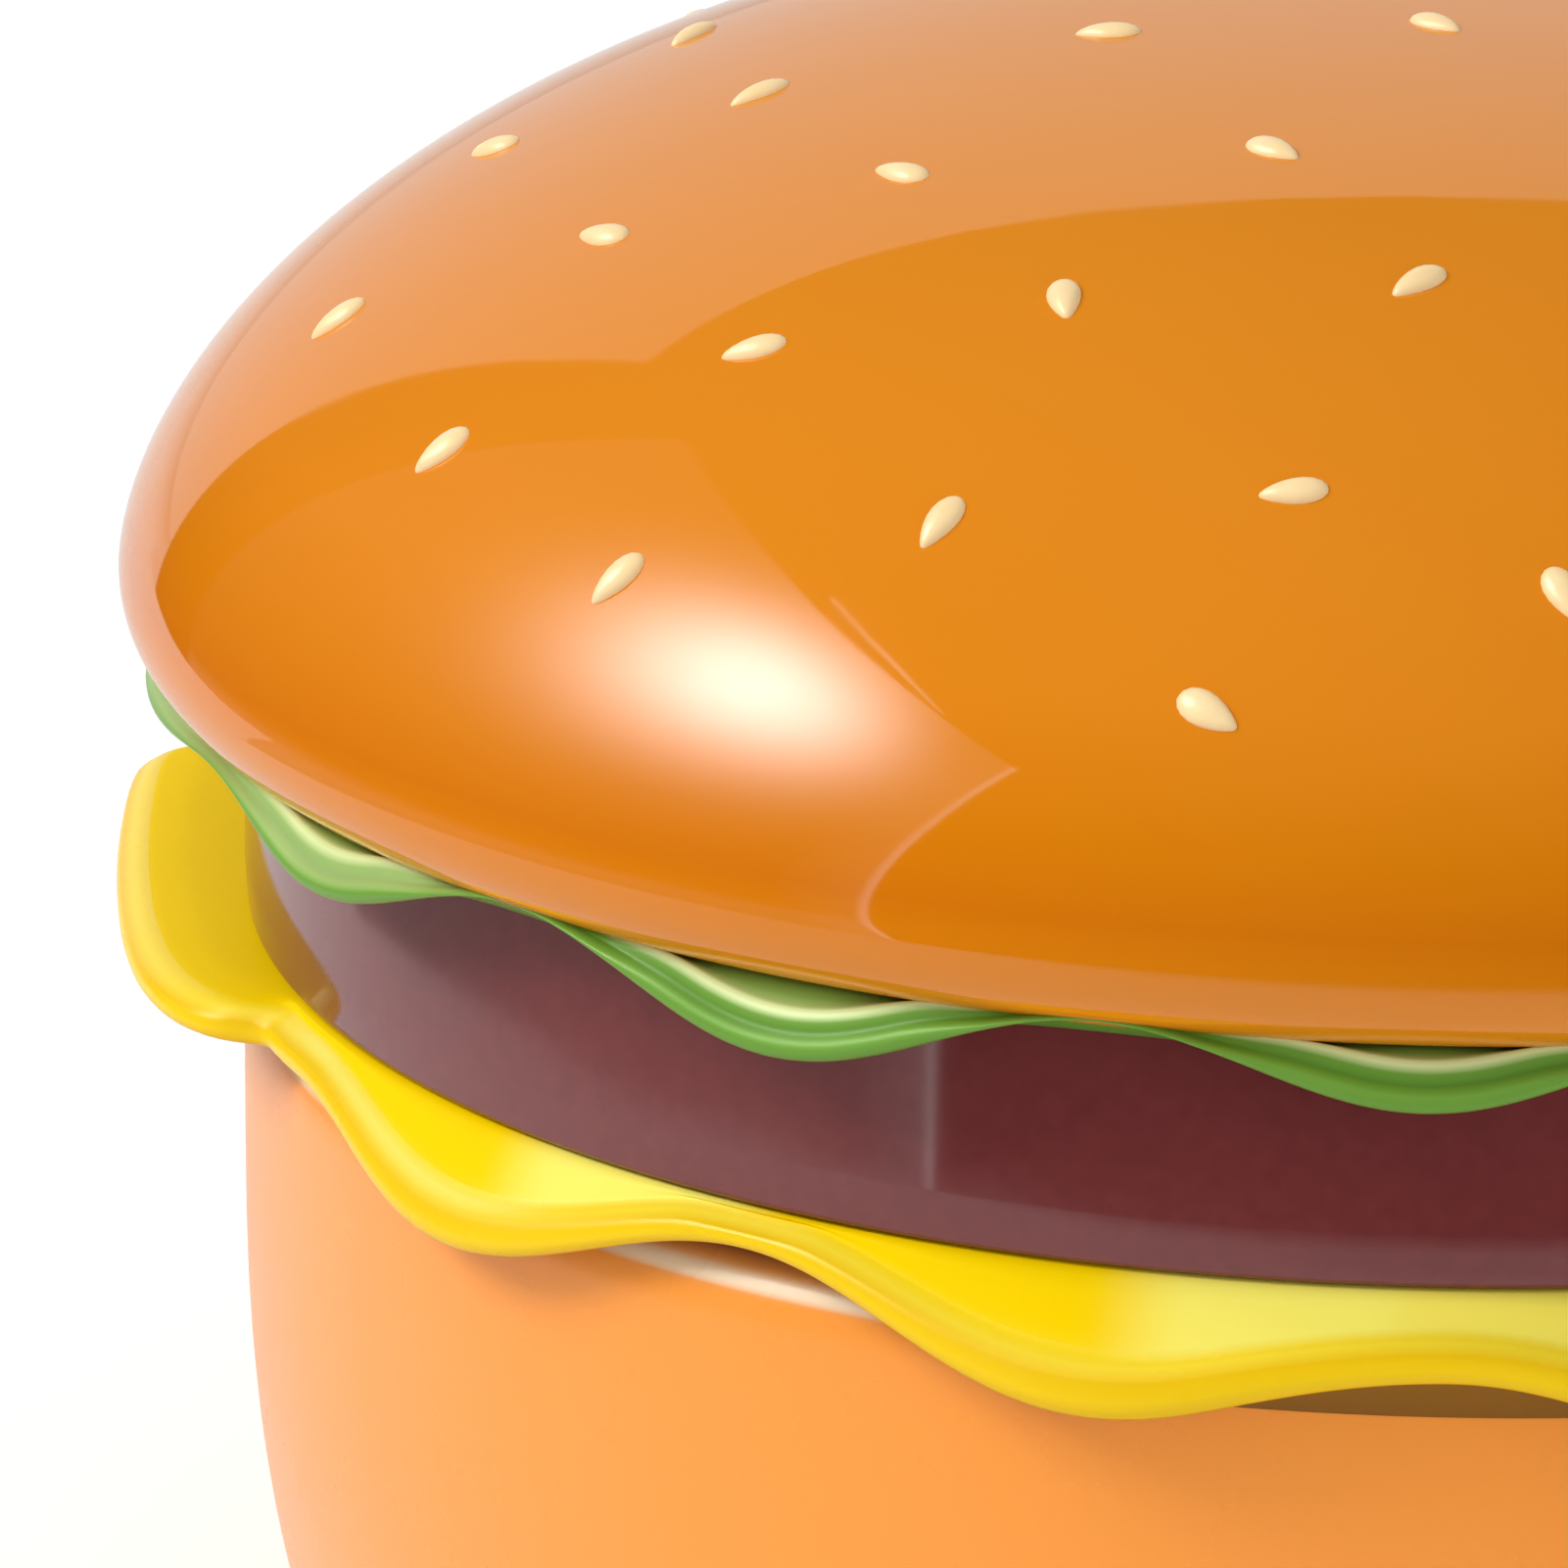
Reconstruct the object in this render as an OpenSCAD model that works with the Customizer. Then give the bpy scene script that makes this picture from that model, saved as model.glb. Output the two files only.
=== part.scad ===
// Hamburger-shaped telephone that opens like a clam.
// The origin is on the table under the middle, +Z up. The finger tab is at -X and the hinge at +X.
// All lengths are in millimetres, and all angles in degrees.

/* [Overall] */
// Diameter of the top bun at its widest line
bun_d = 140; // [137:1:150]
// Height of the rubber feet below the bottom bun
foot_h = 1.5; // [1:0.25:3]
// Height of the base, from the underside of the bottom bun to the split line
base_h = 48; // [47:0.5:56]
// Wall thickness of the bun and patty shells
shell_t = 2.5; // [2:0.1:2.8]

/* [Lid] */
// Gap between the lid and the cheese when the lid is shut
lid_gap = 0.4; // [0.3:0.1:0.8]
// Height of the dome above its widest line
dome_h = 31.5; // [29:0.5:36]
// Roundness of the dome's outline, where 2 is an ellipse
dome_power = 2.1; // [2:0.05:2.3]
// Radius under the top bun's widest line
rim_r = 2.4; // [2:0.1:3]
// Width of the flat flange inside the top bun's rim
rim_flange_w = 7.5; // [7:0.1:9]
// Height of the patty
patty_h = 12.3; // [11.8:0.1:15]
// How far the patty's wall stands in from the widest line
patty_inset = 5.8; // [5.6:0.1:6.4]
// Width of the patty's ledge and top flange
patty_ledge_w = 4.5; // [4:0.1:6]
// Thickness of the plate that closes the lid
plate_t = 2; // [1.6:0.1:2.4]
// Distance of the lid's four screw bosses from the axis
lid_boss_pcr = 47; // [44:0.5:49]
// Radius of a lid screw boss
lid_boss_r = 3.6; // [3.3:0.1:4.2]

/* [Lettuce] */
// Thickness of the lettuce between the patty and the bun
lettuce_t = 1.6; // [1.4:0.1:2.2]
// Number of waves round the lettuce
lettuce_waves = 12; // [8:1:16]
// Direction of the first drooping wave, from the finger tab
lettuce_turn = 28.6; // [0:0.2:30]
// Height of the wave, from its middle to its crest
lettuce_wave_h = 1.7; // [0:0.1:2]
// Mean depth of the lettuce's edge below the widest line
lettuce_drop = 4.85; // [4.8:0.05:5.5]
// How far the lettuce's edge stays inside the widest line, on average
lettuce_inset = 1.6; // [1.5:0.1:2.4]

/* [Seeds] */
// Length of a sesame seed
seed_l = 3.8; // [3:0.1:5]
// Width of a sesame seed
seed_w = 2; // [1.4:0.1:2.6]

/* [Cheese] */
// Thickness of the cheese ring where it rests on the bottom bun
cheese_t = 3.6; // [3.2:0.1:4.5]
// Thickness of the cheese's free edge
lip_t = 2.3; // [2:0.1:2.6]
// Number of drooping waves round the cheese
cheese_waves = 10; // [6:2:14]
// Mean droop of the cheese's edge below the split line
cheese_drop = 4.5; // [4.4:0.1:5]
// Height of the cheese's wave, from its middle to its crest
cheese_wave_h = 2; // [0:0.1:2.1]
// Extra droop of every second wave, taken from the others
cheese_uneven = 0.7; // [0:0.1:0.8]
// How far the cheese's edge stands out past the patty
cheese_reach = 1.4; // [1.3:0.1:1.8]
// How much further out the edge stands for each millimetre of droop
cheese_flare = 0.35; // [0.3:0.05:0.4]
// Width of the finger tab
tab_w = 31; // [24:1:34]
// Corner radius of the finger tab
tab_corner_r = 4; // [2:0.5:6]
// Width of the cheese ring's ledge, from the bottom bun's top edge in to the keypad well
well_ledge_w = 11; // [10:0.5:12]

/* [Bottom bun] */
// How far the bottom bun's widest line stands in from the top bun's
base_inset = 5.6; // [5.4:0.1:6.2]
// Height of the bottom bun's widest line above its underside
base_waist_z = 35; // [33:0.5:37]
// Roundness of the bottom bun's side, where 2 is an ellipse
base_power = 4.5; // [4:0.1:5.5]
// Depth below the widest line at which the side would close to a point
base_taper = 37.5; // [37:0.1:40]
// Width of the rounded shoulder under the cheese
shoulder_w = 3.4; // [2.8:0.1:3.8]
// Height of the rounded shoulder under the cheese
shoulder_h = 3.8; // [3.2:0.1:4.6]
// Outside radius of the case screw columns
column_r = 4.2; // [4:0.1:4.8]
// Distance of the case screws from the axis
column_pcr = 42; // [41:0.5:44]
// Radius of a rubber foot
foot_r = 5; // [4:0.5:6]
// Distance of the feet from the axis
foot_pcr = 40; // [36:0.5:41]
// Depth of the seat that holds a foot
foot_seat = 0.8; // [0.5:0.1:1.2]

/* [Keypad] */
// Thickness of the keypad plate
deck_t = 2; // [1.6:0.1:2.4]
// Length of a key along the phone
key_x = 8.6; // [7:0.2:9.4]
// Width of a key
key_y = 12; // [9:0.5:13]
// Corner radius of a key
key_corner_r = 1.6; // [0.8:0.1:2.5]
// Spacing of the keys along the phone
key_pitch_x = 13; // [12:0.1:13.2]
// Spacing of the keys across the phone
key_pitch_y = 16; // [15.6:0.1:16.4]
// Height of a key above the keypad plate
key_rise = 2.6; // [2:0.1:2.8]
// Travel of a key
key_travel = 1.2; // [0.8:0.1:1.4]
// Thickness of a circuit board
board_t = 1.6; // [1.2:0.1:2]
// Travel of the hook plunger
hook_travel = 2.5; // [2:0.1:2.6]
// Radius of the hook plunger
hook_r = 2.5; // [2:0.1:3]

/* [Hinge] */
// Outside radius of the hinge knuckles
knuckle_r = 2.6; // [2.4:0.1:2.7]
// Radius of the hinge pin
pin_r = 1.05; // [0.9:0.05:1.2]
// Length of the hinge pin
pin_l = 26; // [22:1:30]
// Length of the lid's middle knuckle
arm_w = 12.4; // [10:0.2:14]
// Height of the arm that climbs the patty
arm_h = 9.2; // [8:0.1:9.3]

/* [Sockets] */
// Width of the line jack
jack_w = 13.2; // [12.6:0.1:14]
// Height of the line jack
jack_h = 12.4; // [11.4:0.1:13]
// Width of the line plug's opening
plug_w = 9.8; // [9.7:0.1:10]
// Height of the line plug's opening
plug_h = 6.8; // [6.7:0.1:7]
// Travel of the two slide switches
switch_travel = 3; // [2:0.2:4]

/* [Clearances] */
// Gap round a key in the keypad plate
key_gap = 0.3; // [0.2:0.05:0.5]
// Gap between parts that are fitted into each other
fit_gap = 0.3; // [0.2:0.05:0.4]
// Radial gap of a running pin
run_gap = 0.05; // [0.03:0.01:0.08]

/* [Hidden] */
$fn = 64;
KEYS = ["1", "2", "3", "4", "5", "6", "7", "8", "9", "star", "0", "hash", "mute", "flash", "redial"];

BUN = "#DE8420";
SEED = "#FFE1AA";
LETTUCE = "#6DAA3C";
PATTY = "#6B3434";
CHEESE = "#F5CB00";
LOWER_BUN = "#FFAA5A";
STEEL = "#B8BCC2";
BOARD = "#2F7D4F";
BLACK = "#26262A";
CREAM = "#F4EFE2";

// Heights
z_floor = foot_h;
z_split = foot_h + base_h;
z_bun_top = z_split - cheese_t;
z_deck = z_bun_top;
z_deck_under = z_deck - deck_t;
z_patty = z_split + lid_gap;
z_lettuce = z_patty + patty_h;
z_rim = z_lettuce + lettuce_t;
z_widest = z_rim + rim_r;
z_top = z_widest + dome_h;
z_waist = z_floor + base_waist_z;
z_plate = z_patty + fit_gap;
z_plate_top = z_plate + plate_t;
// Radii
bun_r = bun_d / 2;
patty_r = bun_r - patty_inset;
patty_in = patty_r - shell_t;
base_r = bun_r - base_inset;
bun_top_r = base_r - shoulder_w;
well_r = bun_top_r - well_ledge_w;
deck_r = bun_top_r - shell_t - fit_gap;
plate_r = patty_in - fit_gap;
flange_in = bun_r - rim_r - rim_flange_w;
edge_steps = 24;
wave_step = 3;
tab_step = 1;
tab_span = 18;

// Screws
screw_r = 1.4;
pilot_gap = 0.05;
hole_gap = 0.3;
head_r = 2.7;
head_h = 2;
lid_screw_l = 9;
small_screw_r = 1;
small_head_r = 1.9;
small_head_h = 1.2;
pilot_depth = 5;
column_top = z_deck_under - 8;
column_step = 6;

// Receiver
ear_x = -18;
capsule_r = 17;
capsule_h = 6;
gasket_h = 1;
magnet_r = 6;
magnet_h = 6.5;
ear_hole_r = 1;
ear_hole_pitch = 4;
retainer_t = 1.6;
retainer_w = 15;
retainer_screw_x = 22;
retainer_post_r = 3.4;
z_capsule = z_plate_top + gasket_h;
z_retainer = z_capsule + capsule_h;
capsule_wall = 1.3;
diaphragm_t = 0.4;

// Keypad stack
key_cols = [1, 0, -1];
key_first_x = 20;
flange_side = 1;
flange_t = 1;
flange_drop = 0.2;
dome_r = 3.6;
board_top = z_deck_under - 7;
board_x0 = -44;
board_x1 = 46;
board_half_y = 24;
post_r = 2.4;
post_in = 2.6;
mat_t = 1.2;
mat_in = 5.4;
mat_x1 = 29;
mic_r = 4.8;
mic_h = 3;
mic_boot_t = 0.9;
mic_socket_t = 1.2;
mic_socket_h = 4.4;
mic_socket_r = mic_r + mic_boot_t + mic_socket_t + 0.05;
mic_x = key_first_x - 4 * key_pitch_x - key_x / 2 - flange_side - fit_gap - mic_socket_r;
mic_hole_r = 0.8;
hook_x = 37.5;
hook_flange_r = 6;
hook_flange_t = 1;
hook_under_lid = 0.5;
hook_spring_r = 5;
hook_wire_r = 0.3;
hook_turns = 3;
hook_button_r = 1;
hook_box = 6;
deck_screw_angles = [35, 90, 145, 215, 270, 325];
deck_screw_pcr = (well_r + deck_r) / 2;

// Rear sockets
rear_y = base_r - 7;
rear_w = 50;
rear_h = 17;
rear_roof = 6.4;
rear_z0 = z_bun_top - rear_roof - rear_h;
main_top = rear_z0 + shell_t;
main_x0 = -24;
main_x1 = 24;
main_y0 = 12;
main_post_r = 3;
main_post_in = 4;
main_post_back = 16;
chip_l = 18;
chip_w = 7.5;
chip_h = 2.4;
capacitor_r = 3.1;
capacitor_h = 7;
relay_l = 9;
relay_w = 7;
relay_h = 5;
parts_y = main_y0 + 8;
ribbon_w = 20;
ribbon_t = 1;
jack_x = -13;
jack_depth = 15;
plug_depth = 11;
plug_lift = 3.2;
latch_w = 6.2;
latch_h = 2;
contact_w = 0.5;
contact_pitch = 1.02;
ringer_sw_x = 3;
tone_sw_x = 16.5;
switch_w = 11;
switch_d = 5;
switch_h = 9;
knob_x = 3;
knob_z = 3;
knob_out = 1.6;
main_y1 = rear_y - shell_t - fit_gap;
slot_z = main_top + switch_h / 2;

// Sounder
ring_x = -8;
ring_y = -18;
ring_cup_r = 15;
ring_cup_h = 6;
ring_cup_t = 1.2;
piezo_r = 12;
piezo_t = 0.8;

// Hinge
hinge_x = bun_r - knuckle_r - 0.2;
hinge_z = z_split + lid_gap / 2;
arm_x0 = patty_r + 0.05;
arm_x1 = hinge_x + 0.6;
arm_screw_y = 3.4;
arm_pad_w = 16;
arm_pad_t = 4.5;
block_x0 = deck_screw_pcr - 2.2;
block_x1 = hinge_x - 1.2;
block_top = z_split - 0.1;
block_w = pin_l;
knuckle_side = 0.15;
block_screw_x = block_x0 + 2.6;
block_screw_y = 8.4;

// Seeds on one third of the dome: direction from the tab, distance from the axis as a share of the
// bun's radius, and turn from the ring
seed_scatter = [[-23, 0.629, 20], [7, 0.271, 60], [61, 0.1, 0], [5, 0.529, 120], [-4, 0.729, 50],
    [34, 0.514, 30], [64, 0.357, -20], [21, 0.686, 20], [12, 0.857, 100], [59, 0.6, 70],
    [84, 0.529, 55], [43, 0.714, 35], [31, 0.871, 80], [79, 0.771, 15], [62, 0.814, 85],
    [47, 0.9, 80], [63, 0.914, -30], [92, 0.843, -60], [77, 0.929, -40]];
seed_thirds = 3;

function around(a, r, z) = [-r * cos(a), -r * sin(a), z];
function dome_height(r) = dome_h * pow(1 - pow(r / bun_r, dome_power), 1 / dome_power);
function dome_arc(r, h) = [for (i = [0:edge_steps]) let (a = 90 * i / edge_steps)
    [r * pow(cos(a), 2 / dome_power), z_widest + h * pow(sin(a), 2 / dome_power)]];
function backwards(list) = [for (i = [len(list) - 1:-1:0]) list[i]];
// Outside radius of the bottom bun's side below its widest line
function side_r(z, r) = r * pow(1 - pow((z_waist - z) / base_taper, base_power), 1 / base_power);

// Outline of the bottom bun, shrunk by t, as points from its underside up to its top edge
function bun_outline(t) = let (low = z_floor + t)
    concat([for (i = [0:14]) let (z = z_waist - (z_waist - low) * pow(1 - i / 14, 0.6)) [side_r(z,
        base_r) - t, z]],
        [for (i = [0:6]) let (a = 90 * i / 6)
            [base_r - t - shoulder_w * (1 - cos(a)), z_bun_top - shoulder_h + shoulder_h * sin(a)]]);

// Faces of a ring whose cross-section has m points, repeated n times round the axis
function ring_faces(n, m) = [for (i = [0:n - 1]) for (j = [0:m - 1])
    let (a = i * m + j, b = i * m + (j + 1) % m, c = ((i + 1) % n) * m + j,
        d = ((i + 1) % n) * m + (j + 1) % m)
    each [[a, b, d], [a, d, c]]];

module screw(r, l, cap_r, cap_h) {
    // The head's bearing face is at z = 0, and the shank points up
    cylinder(r = r, h = l);
    translate([0, 0, -cap_h]) {
        difference() {
            cylinder(r = cap_r, h = cap_h);
            translate([0, 0, -0.01]) {
                translate([-cap_r / 8, -cap_r * 0.7, 0]) cube([cap_r / 4, cap_r * 1.4, cap_h / 2]);
                translate([-cap_r * 0.7, -cap_r / 8, 0]) cube([cap_r * 1.4, cap_r / 4, cap_h / 2]);
            }
        }
    }
}

module round_bar(x, y, r, h) {
    linear_extrude(height = h) {
        square([x - 2 * r, y], center = true);
        square([x, y - 2 * r], center = true);
        for (sx = [-1, 1]) for (sy = [-1, 1])
            translate([sx * (x / 2 - r), sy * (y / 2 - r)]) circle(r = r);
    }
}

module at_main_posts() {
    for (x = [main_x0 + main_post_in, main_x1 - main_post_in])
        translate([x, main_y0 + main_post_in, 0]) children();
    translate([0, main_y1 - main_post_back, 0]) children();
}

module at_corners(pcr) {
    for (a = [45:90:315]) rotate([0, 0, a]) translate([pcr, 0, 0]) children();
}

// ---- Lid ----

module top_bun() {
    rim_arc = [for (i = [1:7]) let (a = 90 * i / 8)
        [bun_r - rim_r + rim_r * sin(a), z_widest - rim_r * cos(a)]];
    inner = [for (p = backwards(dome_arc(bun_r - shell_t, dome_h - shell_t))) p];
    color(BUN) {
        difference() {
            union() {
                rotate_extrude() polygon(concat([[flange_in, z_rim], [bun_r - rim_r, z_rim]], rim_arc,
                    dome_arc(bun_r, dome_h), inner,
                    [[bun_r - shell_t, z_rim + lettuce_t], [flange_in, z_rim + lettuce_t]]));
                intersection() {
                    at_corners(lid_boss_pcr) translate([0, 0, z_plate_top + shell_t])
                        cylinder(r = lid_boss_r, h = z_top - z_plate_top);
                    rotate_extrude() polygon(concat([[0, z_plate], [bun_r - shell_t / 2, z_plate]],
                        dome_arc(bun_r - shell_t / 2, dome_h - shell_t / 2)));
                }
            }
            at_corners(lid_boss_pcr) translate([0, 0, z_plate])
                cylinder(r = screw_r + pilot_gap, h = shell_t + plate_t + 8);
        }
    }
}

module seed() {
    // Half of a pointed spindle along X, with its flat side down
    half = seed_l / 2;
    arc_r = (half * half + seed_w * seed_w / 4) / seed_w;
    rotate([90, 0, 90]) rotate_extrude(angle = 180) intersection() {
        translate([seed_w / 2 - arc_r, 0]) circle(r = arc_r);
        translate([0, -half]) square([seed_w, seed_l]);
    }
}

module sesame_seeds() {
    color(SEED) for (third = [0:seed_thirds - 1]) for (s = seed_scatter) {
        a = s[0] + 360 / seed_thirds * third;
        r = s[1] * bun_r;
        slope = atan2(dome_height(r - 0.5) - dome_height(r + 0.5), 1);
        translate(around(a, r, z_widest + dome_height(r))) rotate([0, 0, a + 180])
            rotate([0, slope, 0]) rotate([0, 0, 90 - s[2]]) seed();
    }
}

module lettuce_frill() {
    stations = [for (a = [0:wave_step:359]) a];
    color(LETTUCE) {
        polyhedron(points = [for (a = stations) let (
                w = cos(lettuce_waves * (a - lettuce_turn)),
                low = z_widest - lettuce_drop - lettuce_wave_h * w,
                edge = bun_r - lettuce_inset + w * lettuce_inset / 2,
                bead = min(lettuce_t, z_rim - low - 0.05))
            for (p = [[flange_in, z_lettuce], [flange_in, z_rim], [edge - lettuce_t, z_rim],
                [edge - lettuce_t / 2, low + bead], [edge, low + bead * 0.6], [edge - 0.3, low + 0.1],
                [edge - lettuce_t * 0.8, low], [edge - lettuce_t * 1.5, min(low + lettuce_t, z_lettuce)],
                [patty_r + 0.2, z_lettuce]]) around(a, p[0], p[1])],
            faces = ring_faces(len(stations), 9));
    }
}

module patty_ring() {
    flange_r = patty_in - patty_ledge_w;
    color(PATTY) {
        difference() {
            union() {
                rotate_extrude() polygon([[patty_in, z_patty], [patty_r - 0.5, z_patty],
                    [patty_r, z_patty + 0.5], [patty_r, z_lettuce], [flange_in, z_lettuce],
                    [flange_in, z_lettuce - shell_t / 2], [patty_in, z_lettuce - shell_t / 2],
                    [patty_in, z_plate_top + shell_t], [flange_r, z_plate_top + shell_t],
                    [flange_r, z_plate_top], [patty_in, z_plate_top]]);
                translate([patty_in - arm_pad_t, -arm_pad_w / 2, z_plate_top + shell_t / 2])
                    cube([arm_pad_t + shell_t / 2, arm_pad_w, arm_h - plate_t - shell_t / 2]);
            }
            for (y = [-arm_screw_y, arm_screw_y])
                translate([patty_in - arm_pad_t - 1, y, hinge_z + arm_h * 0.7])
                rotate([0, 90, 0]) cylinder(r = small_screw_r + pilot_gap, h = arm_pad_t + shell_t + 2);
        }
    }
}

module earpiece_plate() {
    color(PATTY) {
        difference() {
            union() {
                translate([0, 0, z_plate]) cylinder(r = plate_r, h = plate_t);
                at_corners(lid_boss_pcr) translate([0, 0, z_plate])
                    cylinder(r = lid_boss_r + 0.8, h = plate_t + shell_t);
                translate([ear_x, 0, z_plate_top - 0.5]) difference() {
                    cylinder(r = capsule_r + fit_gap + 1.5, h = capsule_h - 0.5);
                    translate([0, 0, -1]) cylinder(r = capsule_r + fit_gap, h = capsule_h + 2);
                }
                for (s = [-1, 1]) translate([ear_x, s * retainer_screw_x, z_plate])
                    cylinder(r = retainer_post_r, h = z_retainer - z_plate);
            }
            at_corners(lid_boss_pcr) {
                translate([0, 0, z_plate - 1]) cylinder(r = head_r + hole_gap, h = head_h + 1);
                translate([0, 0, z_plate]) cylinder(r = screw_r + hole_gap, h = plate_t + shell_t + 1);
            }
            for (s = [-1, 1]) translate([ear_x, s * retainer_screw_x, z_retainer - pilot_depth])
                cylinder(r = small_screw_r + pilot_gap, h = pilot_depth + 1);
            translate([ear_x, 0, z_plate - 1]) {
                cylinder(r = ear_hole_r, h = plate_t + 2);
                for (ring = [1, 2]) for (i = [0:ring * 6 - 1]) rotate([0, 0, 60 * i / ring])
                    translate([ring * ear_hole_pitch, 0, 0]) cylinder(r = ear_hole_r, h = plate_t + 2);
            }
        }
    }
}

module receiver_gasket() {
    color(BLACK) translate([ear_x, 0, z_plate_top]) difference() {
        cylinder(r = capsule_r - 0.5, h = gasket_h);
        translate([0, 0, -1]) cylinder(r = ear_hole_pitch * 2 + ear_hole_r + 1, h = gasket_h + 2);
    }
}

module receiver_diaphragm() {
    r = capsule_r - capsule_wall - fit_gap;
    color(CREAM) translate([ear_x, 0, z_capsule + 1.2]) rotate_extrude()
        polygon([[0, 1.6], [r * 0.4, 1.2], [r * 0.8, 0], [r, 0], [r, diaphragm_t],
            [r * 0.82, diaphragm_t], [r * 0.42, 1.2 + diaphragm_t], [0, 1.6 + diaphragm_t]]);
}

module receiver_frame() {
    color(STEEL) translate([ear_x, 0, z_capsule]) rotate_extrude()
        polygon([[magnet_r + run_gap, capsule_h - capsule_wall],
            [capsule_r - capsule_wall, capsule_h - capsule_wall],
            [capsule_r - capsule_wall, 1.2], [capsule_r - 3, 1.2], [capsule_r - 3, 0], [capsule_r, 0],
            [capsule_r, capsule_h], [magnet_r + run_gap, capsule_h]]);
}

module receiver_magnet() {
    color("#3A3D42") translate([ear_x, 0, z_capsule + 3.6]) cylinder(r = magnet_r, h = magnet_h);
}

module receiver_retainer() {
    color(BLACK) translate([ear_x, 0, z_retainer]) difference() {
        round_bar(retainer_w, 2 * retainer_screw_x + 8, 2, retainer_t);
        translate([0, 0, -1]) cylinder(r = magnet_r + fit_gap, h = retainer_t + 2);
        for (s = [-1, 1]) translate([0, s * retainer_screw_x, -1])
            cylinder(r = small_screw_r + hole_gap, h = retainer_t + 2);
    }
}

module retainer_screws() {
    color(STEEL) for (s = [-1, 1]) translate([ear_x, s * retainer_screw_x, z_retainer + retainer_t])
        rotate([180, 0, 0]) screw(small_screw_r, pilot_depth, small_head_r, small_head_h);
}

module lid_screws() {
    color(STEEL) at_corners(lid_boss_pcr) translate([0, 0, z_plate + head_h])
        screw(screw_r, lid_screw_l, head_r, head_h - 0.3);
}

module hinge_arm() {
    color(PATTY) {
        difference() {
            union() {
                translate([arm_x0, -arm_w / 2, hinge_z]) cube([arm_x1 - arm_x0, arm_w, arm_h]);
                translate([hinge_x, arm_w / 2, hinge_z]) rotate([90, 0, 0])
                    cylinder(r = knuckle_r, h = arm_w);
            }
            translate([hinge_x, arm_w / 2 + 1, hinge_z]) rotate([90, 0, 0])
                cylinder(r = pin_r + run_gap, h = arm_w + 2);
            for (y = [-arm_screw_y, arm_screw_y]) translate([0, y, hinge_z + arm_h * 0.7])
                rotate([0, 90, 0]) {
                cylinder(r = small_screw_r + hole_gap, h = bun_r);
                translate([0, 0, arm_x1 - small_head_h]) cylinder(r = small_head_r + hole_gap, h = 5);
            }
        }
    }
}

module arm_screws() {
    color(STEEL) for (y = [-arm_screw_y, arm_screw_y])
        translate([arm_x1 - small_head_h, y, hinge_z + arm_h * 0.7]) rotate([0, -90, 0])
            screw(small_screw_r, arm_x1 - patty_in + 3 - small_head_h, small_head_r, small_head_h - 0.2);
}

// ---- Base ----

module bottom_bun() {
    inner = concat([for (p = bun_outline(shell_t)) if (p[1] < z_bun_top - shoulder_h - 0.1) p],
        [[bun_top_r - shell_t, z_bun_top - shoulder_h + 0.5], [bun_top_r - shell_t, z_bun_top + 1],
            [0, z_bun_top + 1]]);
    color(LOWER_BUN) {
        difference() {
            union() {
                difference() {
                    rotate_extrude() polygon(concat([[0, z_floor]], bun_outline(0), [[0, z_bun_top]]));
                    rotate_extrude() polygon(concat([[0, z_floor + shell_t]], inner));
                }
                intersection() {
                    union() {
                        translate([-rear_w / 2 - shell_t, rear_y - shell_t, rear_z0 - shell_t])
                            cube([rear_w + 2 * shell_t, bun_r, rear_h + 2 * shell_t]);
                        at_corners(column_pcr) translate([0, 0, z_floor])
                            cylinder(r = column_r, h = column_top - z_floor);
                        at_main_posts() translate([0, 0, z_floor + 0.5])
                            cylinder(r = main_post_r, h = main_top - board_t - z_floor - 0.5);
                        translate([ring_x, ring_y, z_floor + 0.5]) difference() {
                            cylinder(r = ring_cup_r + fit_gap + 1.4, h = shell_t + 2.5);
                            translate([0, 0, -1]) cylinder(r = ring_cup_r + fit_gap, h = shell_t + 5);
                        }
                    }
                    rotate_extrude() polygon(concat([[0, z_floor]], bun_outline(0), [[0, z_bun_top]]));
                }
            }
            // Flat recess for the sockets at the back
            translate([-rear_w / 2, rear_y, rear_z0]) cube([rear_w, bun_r, rear_h]);
            // Opening for the line plug
            translate([jack_x - plug_w / 2 - 0.4, rear_y - 2 * shell_t, main_top + plug_lift - 0.4])
                cube([plug_w + 0.8, 4 * shell_t, plug_h + latch_h + 0.8]);
            // Slots for the two switch knobs
            for (x = [ringer_sw_x, tone_sw_x])
                translate([x - (knob_x + switch_travel) / 2 - fit_gap, rear_y - 2 * shell_t,
                    slot_z - knob_z / 2 - fit_gap])
                    cube([knob_x + switch_travel + 2 * fit_gap, 4 * shell_t, knob_z + 2 * fit_gap]);
            // Case screw holes
            at_corners(column_pcr) {
                translate([0, 0, z_floor - 1])
                    cylinder(r = head_r + hole_gap, h = column_top - column_step - z_floor + 1);
                translate([0, 0, z_floor]) cylinder(r = screw_r + hole_gap, h = column_top);
            }
            // Pilot holes in the main board's posts
            at_main_posts() translate([0, 0, main_top - board_t - pilot_depth - 1])
                cylinder(r = small_screw_r + pilot_gap, h = pilot_depth + 2);
            // Seats for the feet
            for (a = [0:90:270]) rotate([0, 0, a]) translate([foot_pcr, 0, z_floor - 1])
                cylinder(r = foot_r + 0.05, h = foot_seat + 1);
            // Sound slots under the ringer
            for (i = [-2:2]) translate([ring_x + i * 4 - 0.8, ring_y - 7, z_floor - 1])
                cube([1.6, 14, shell_t + 2]);
        }
    }
}

function tab_edge(a) = let (s = abs(a), x = bun_r, w = tab_w / 2, c = tab_corner_r,
        cx = x - c, cy = w - c, b = cx * cos(s) + cy * sin(s), q = cx * cx + cy * cy - c * c)
    s > 60 ? 0 : x * tan(s) < cy ? x / cos(s) : cx * tan(s) > w ? w / sin(s) : b + sqrt(max(b * b - q, 0));

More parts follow.
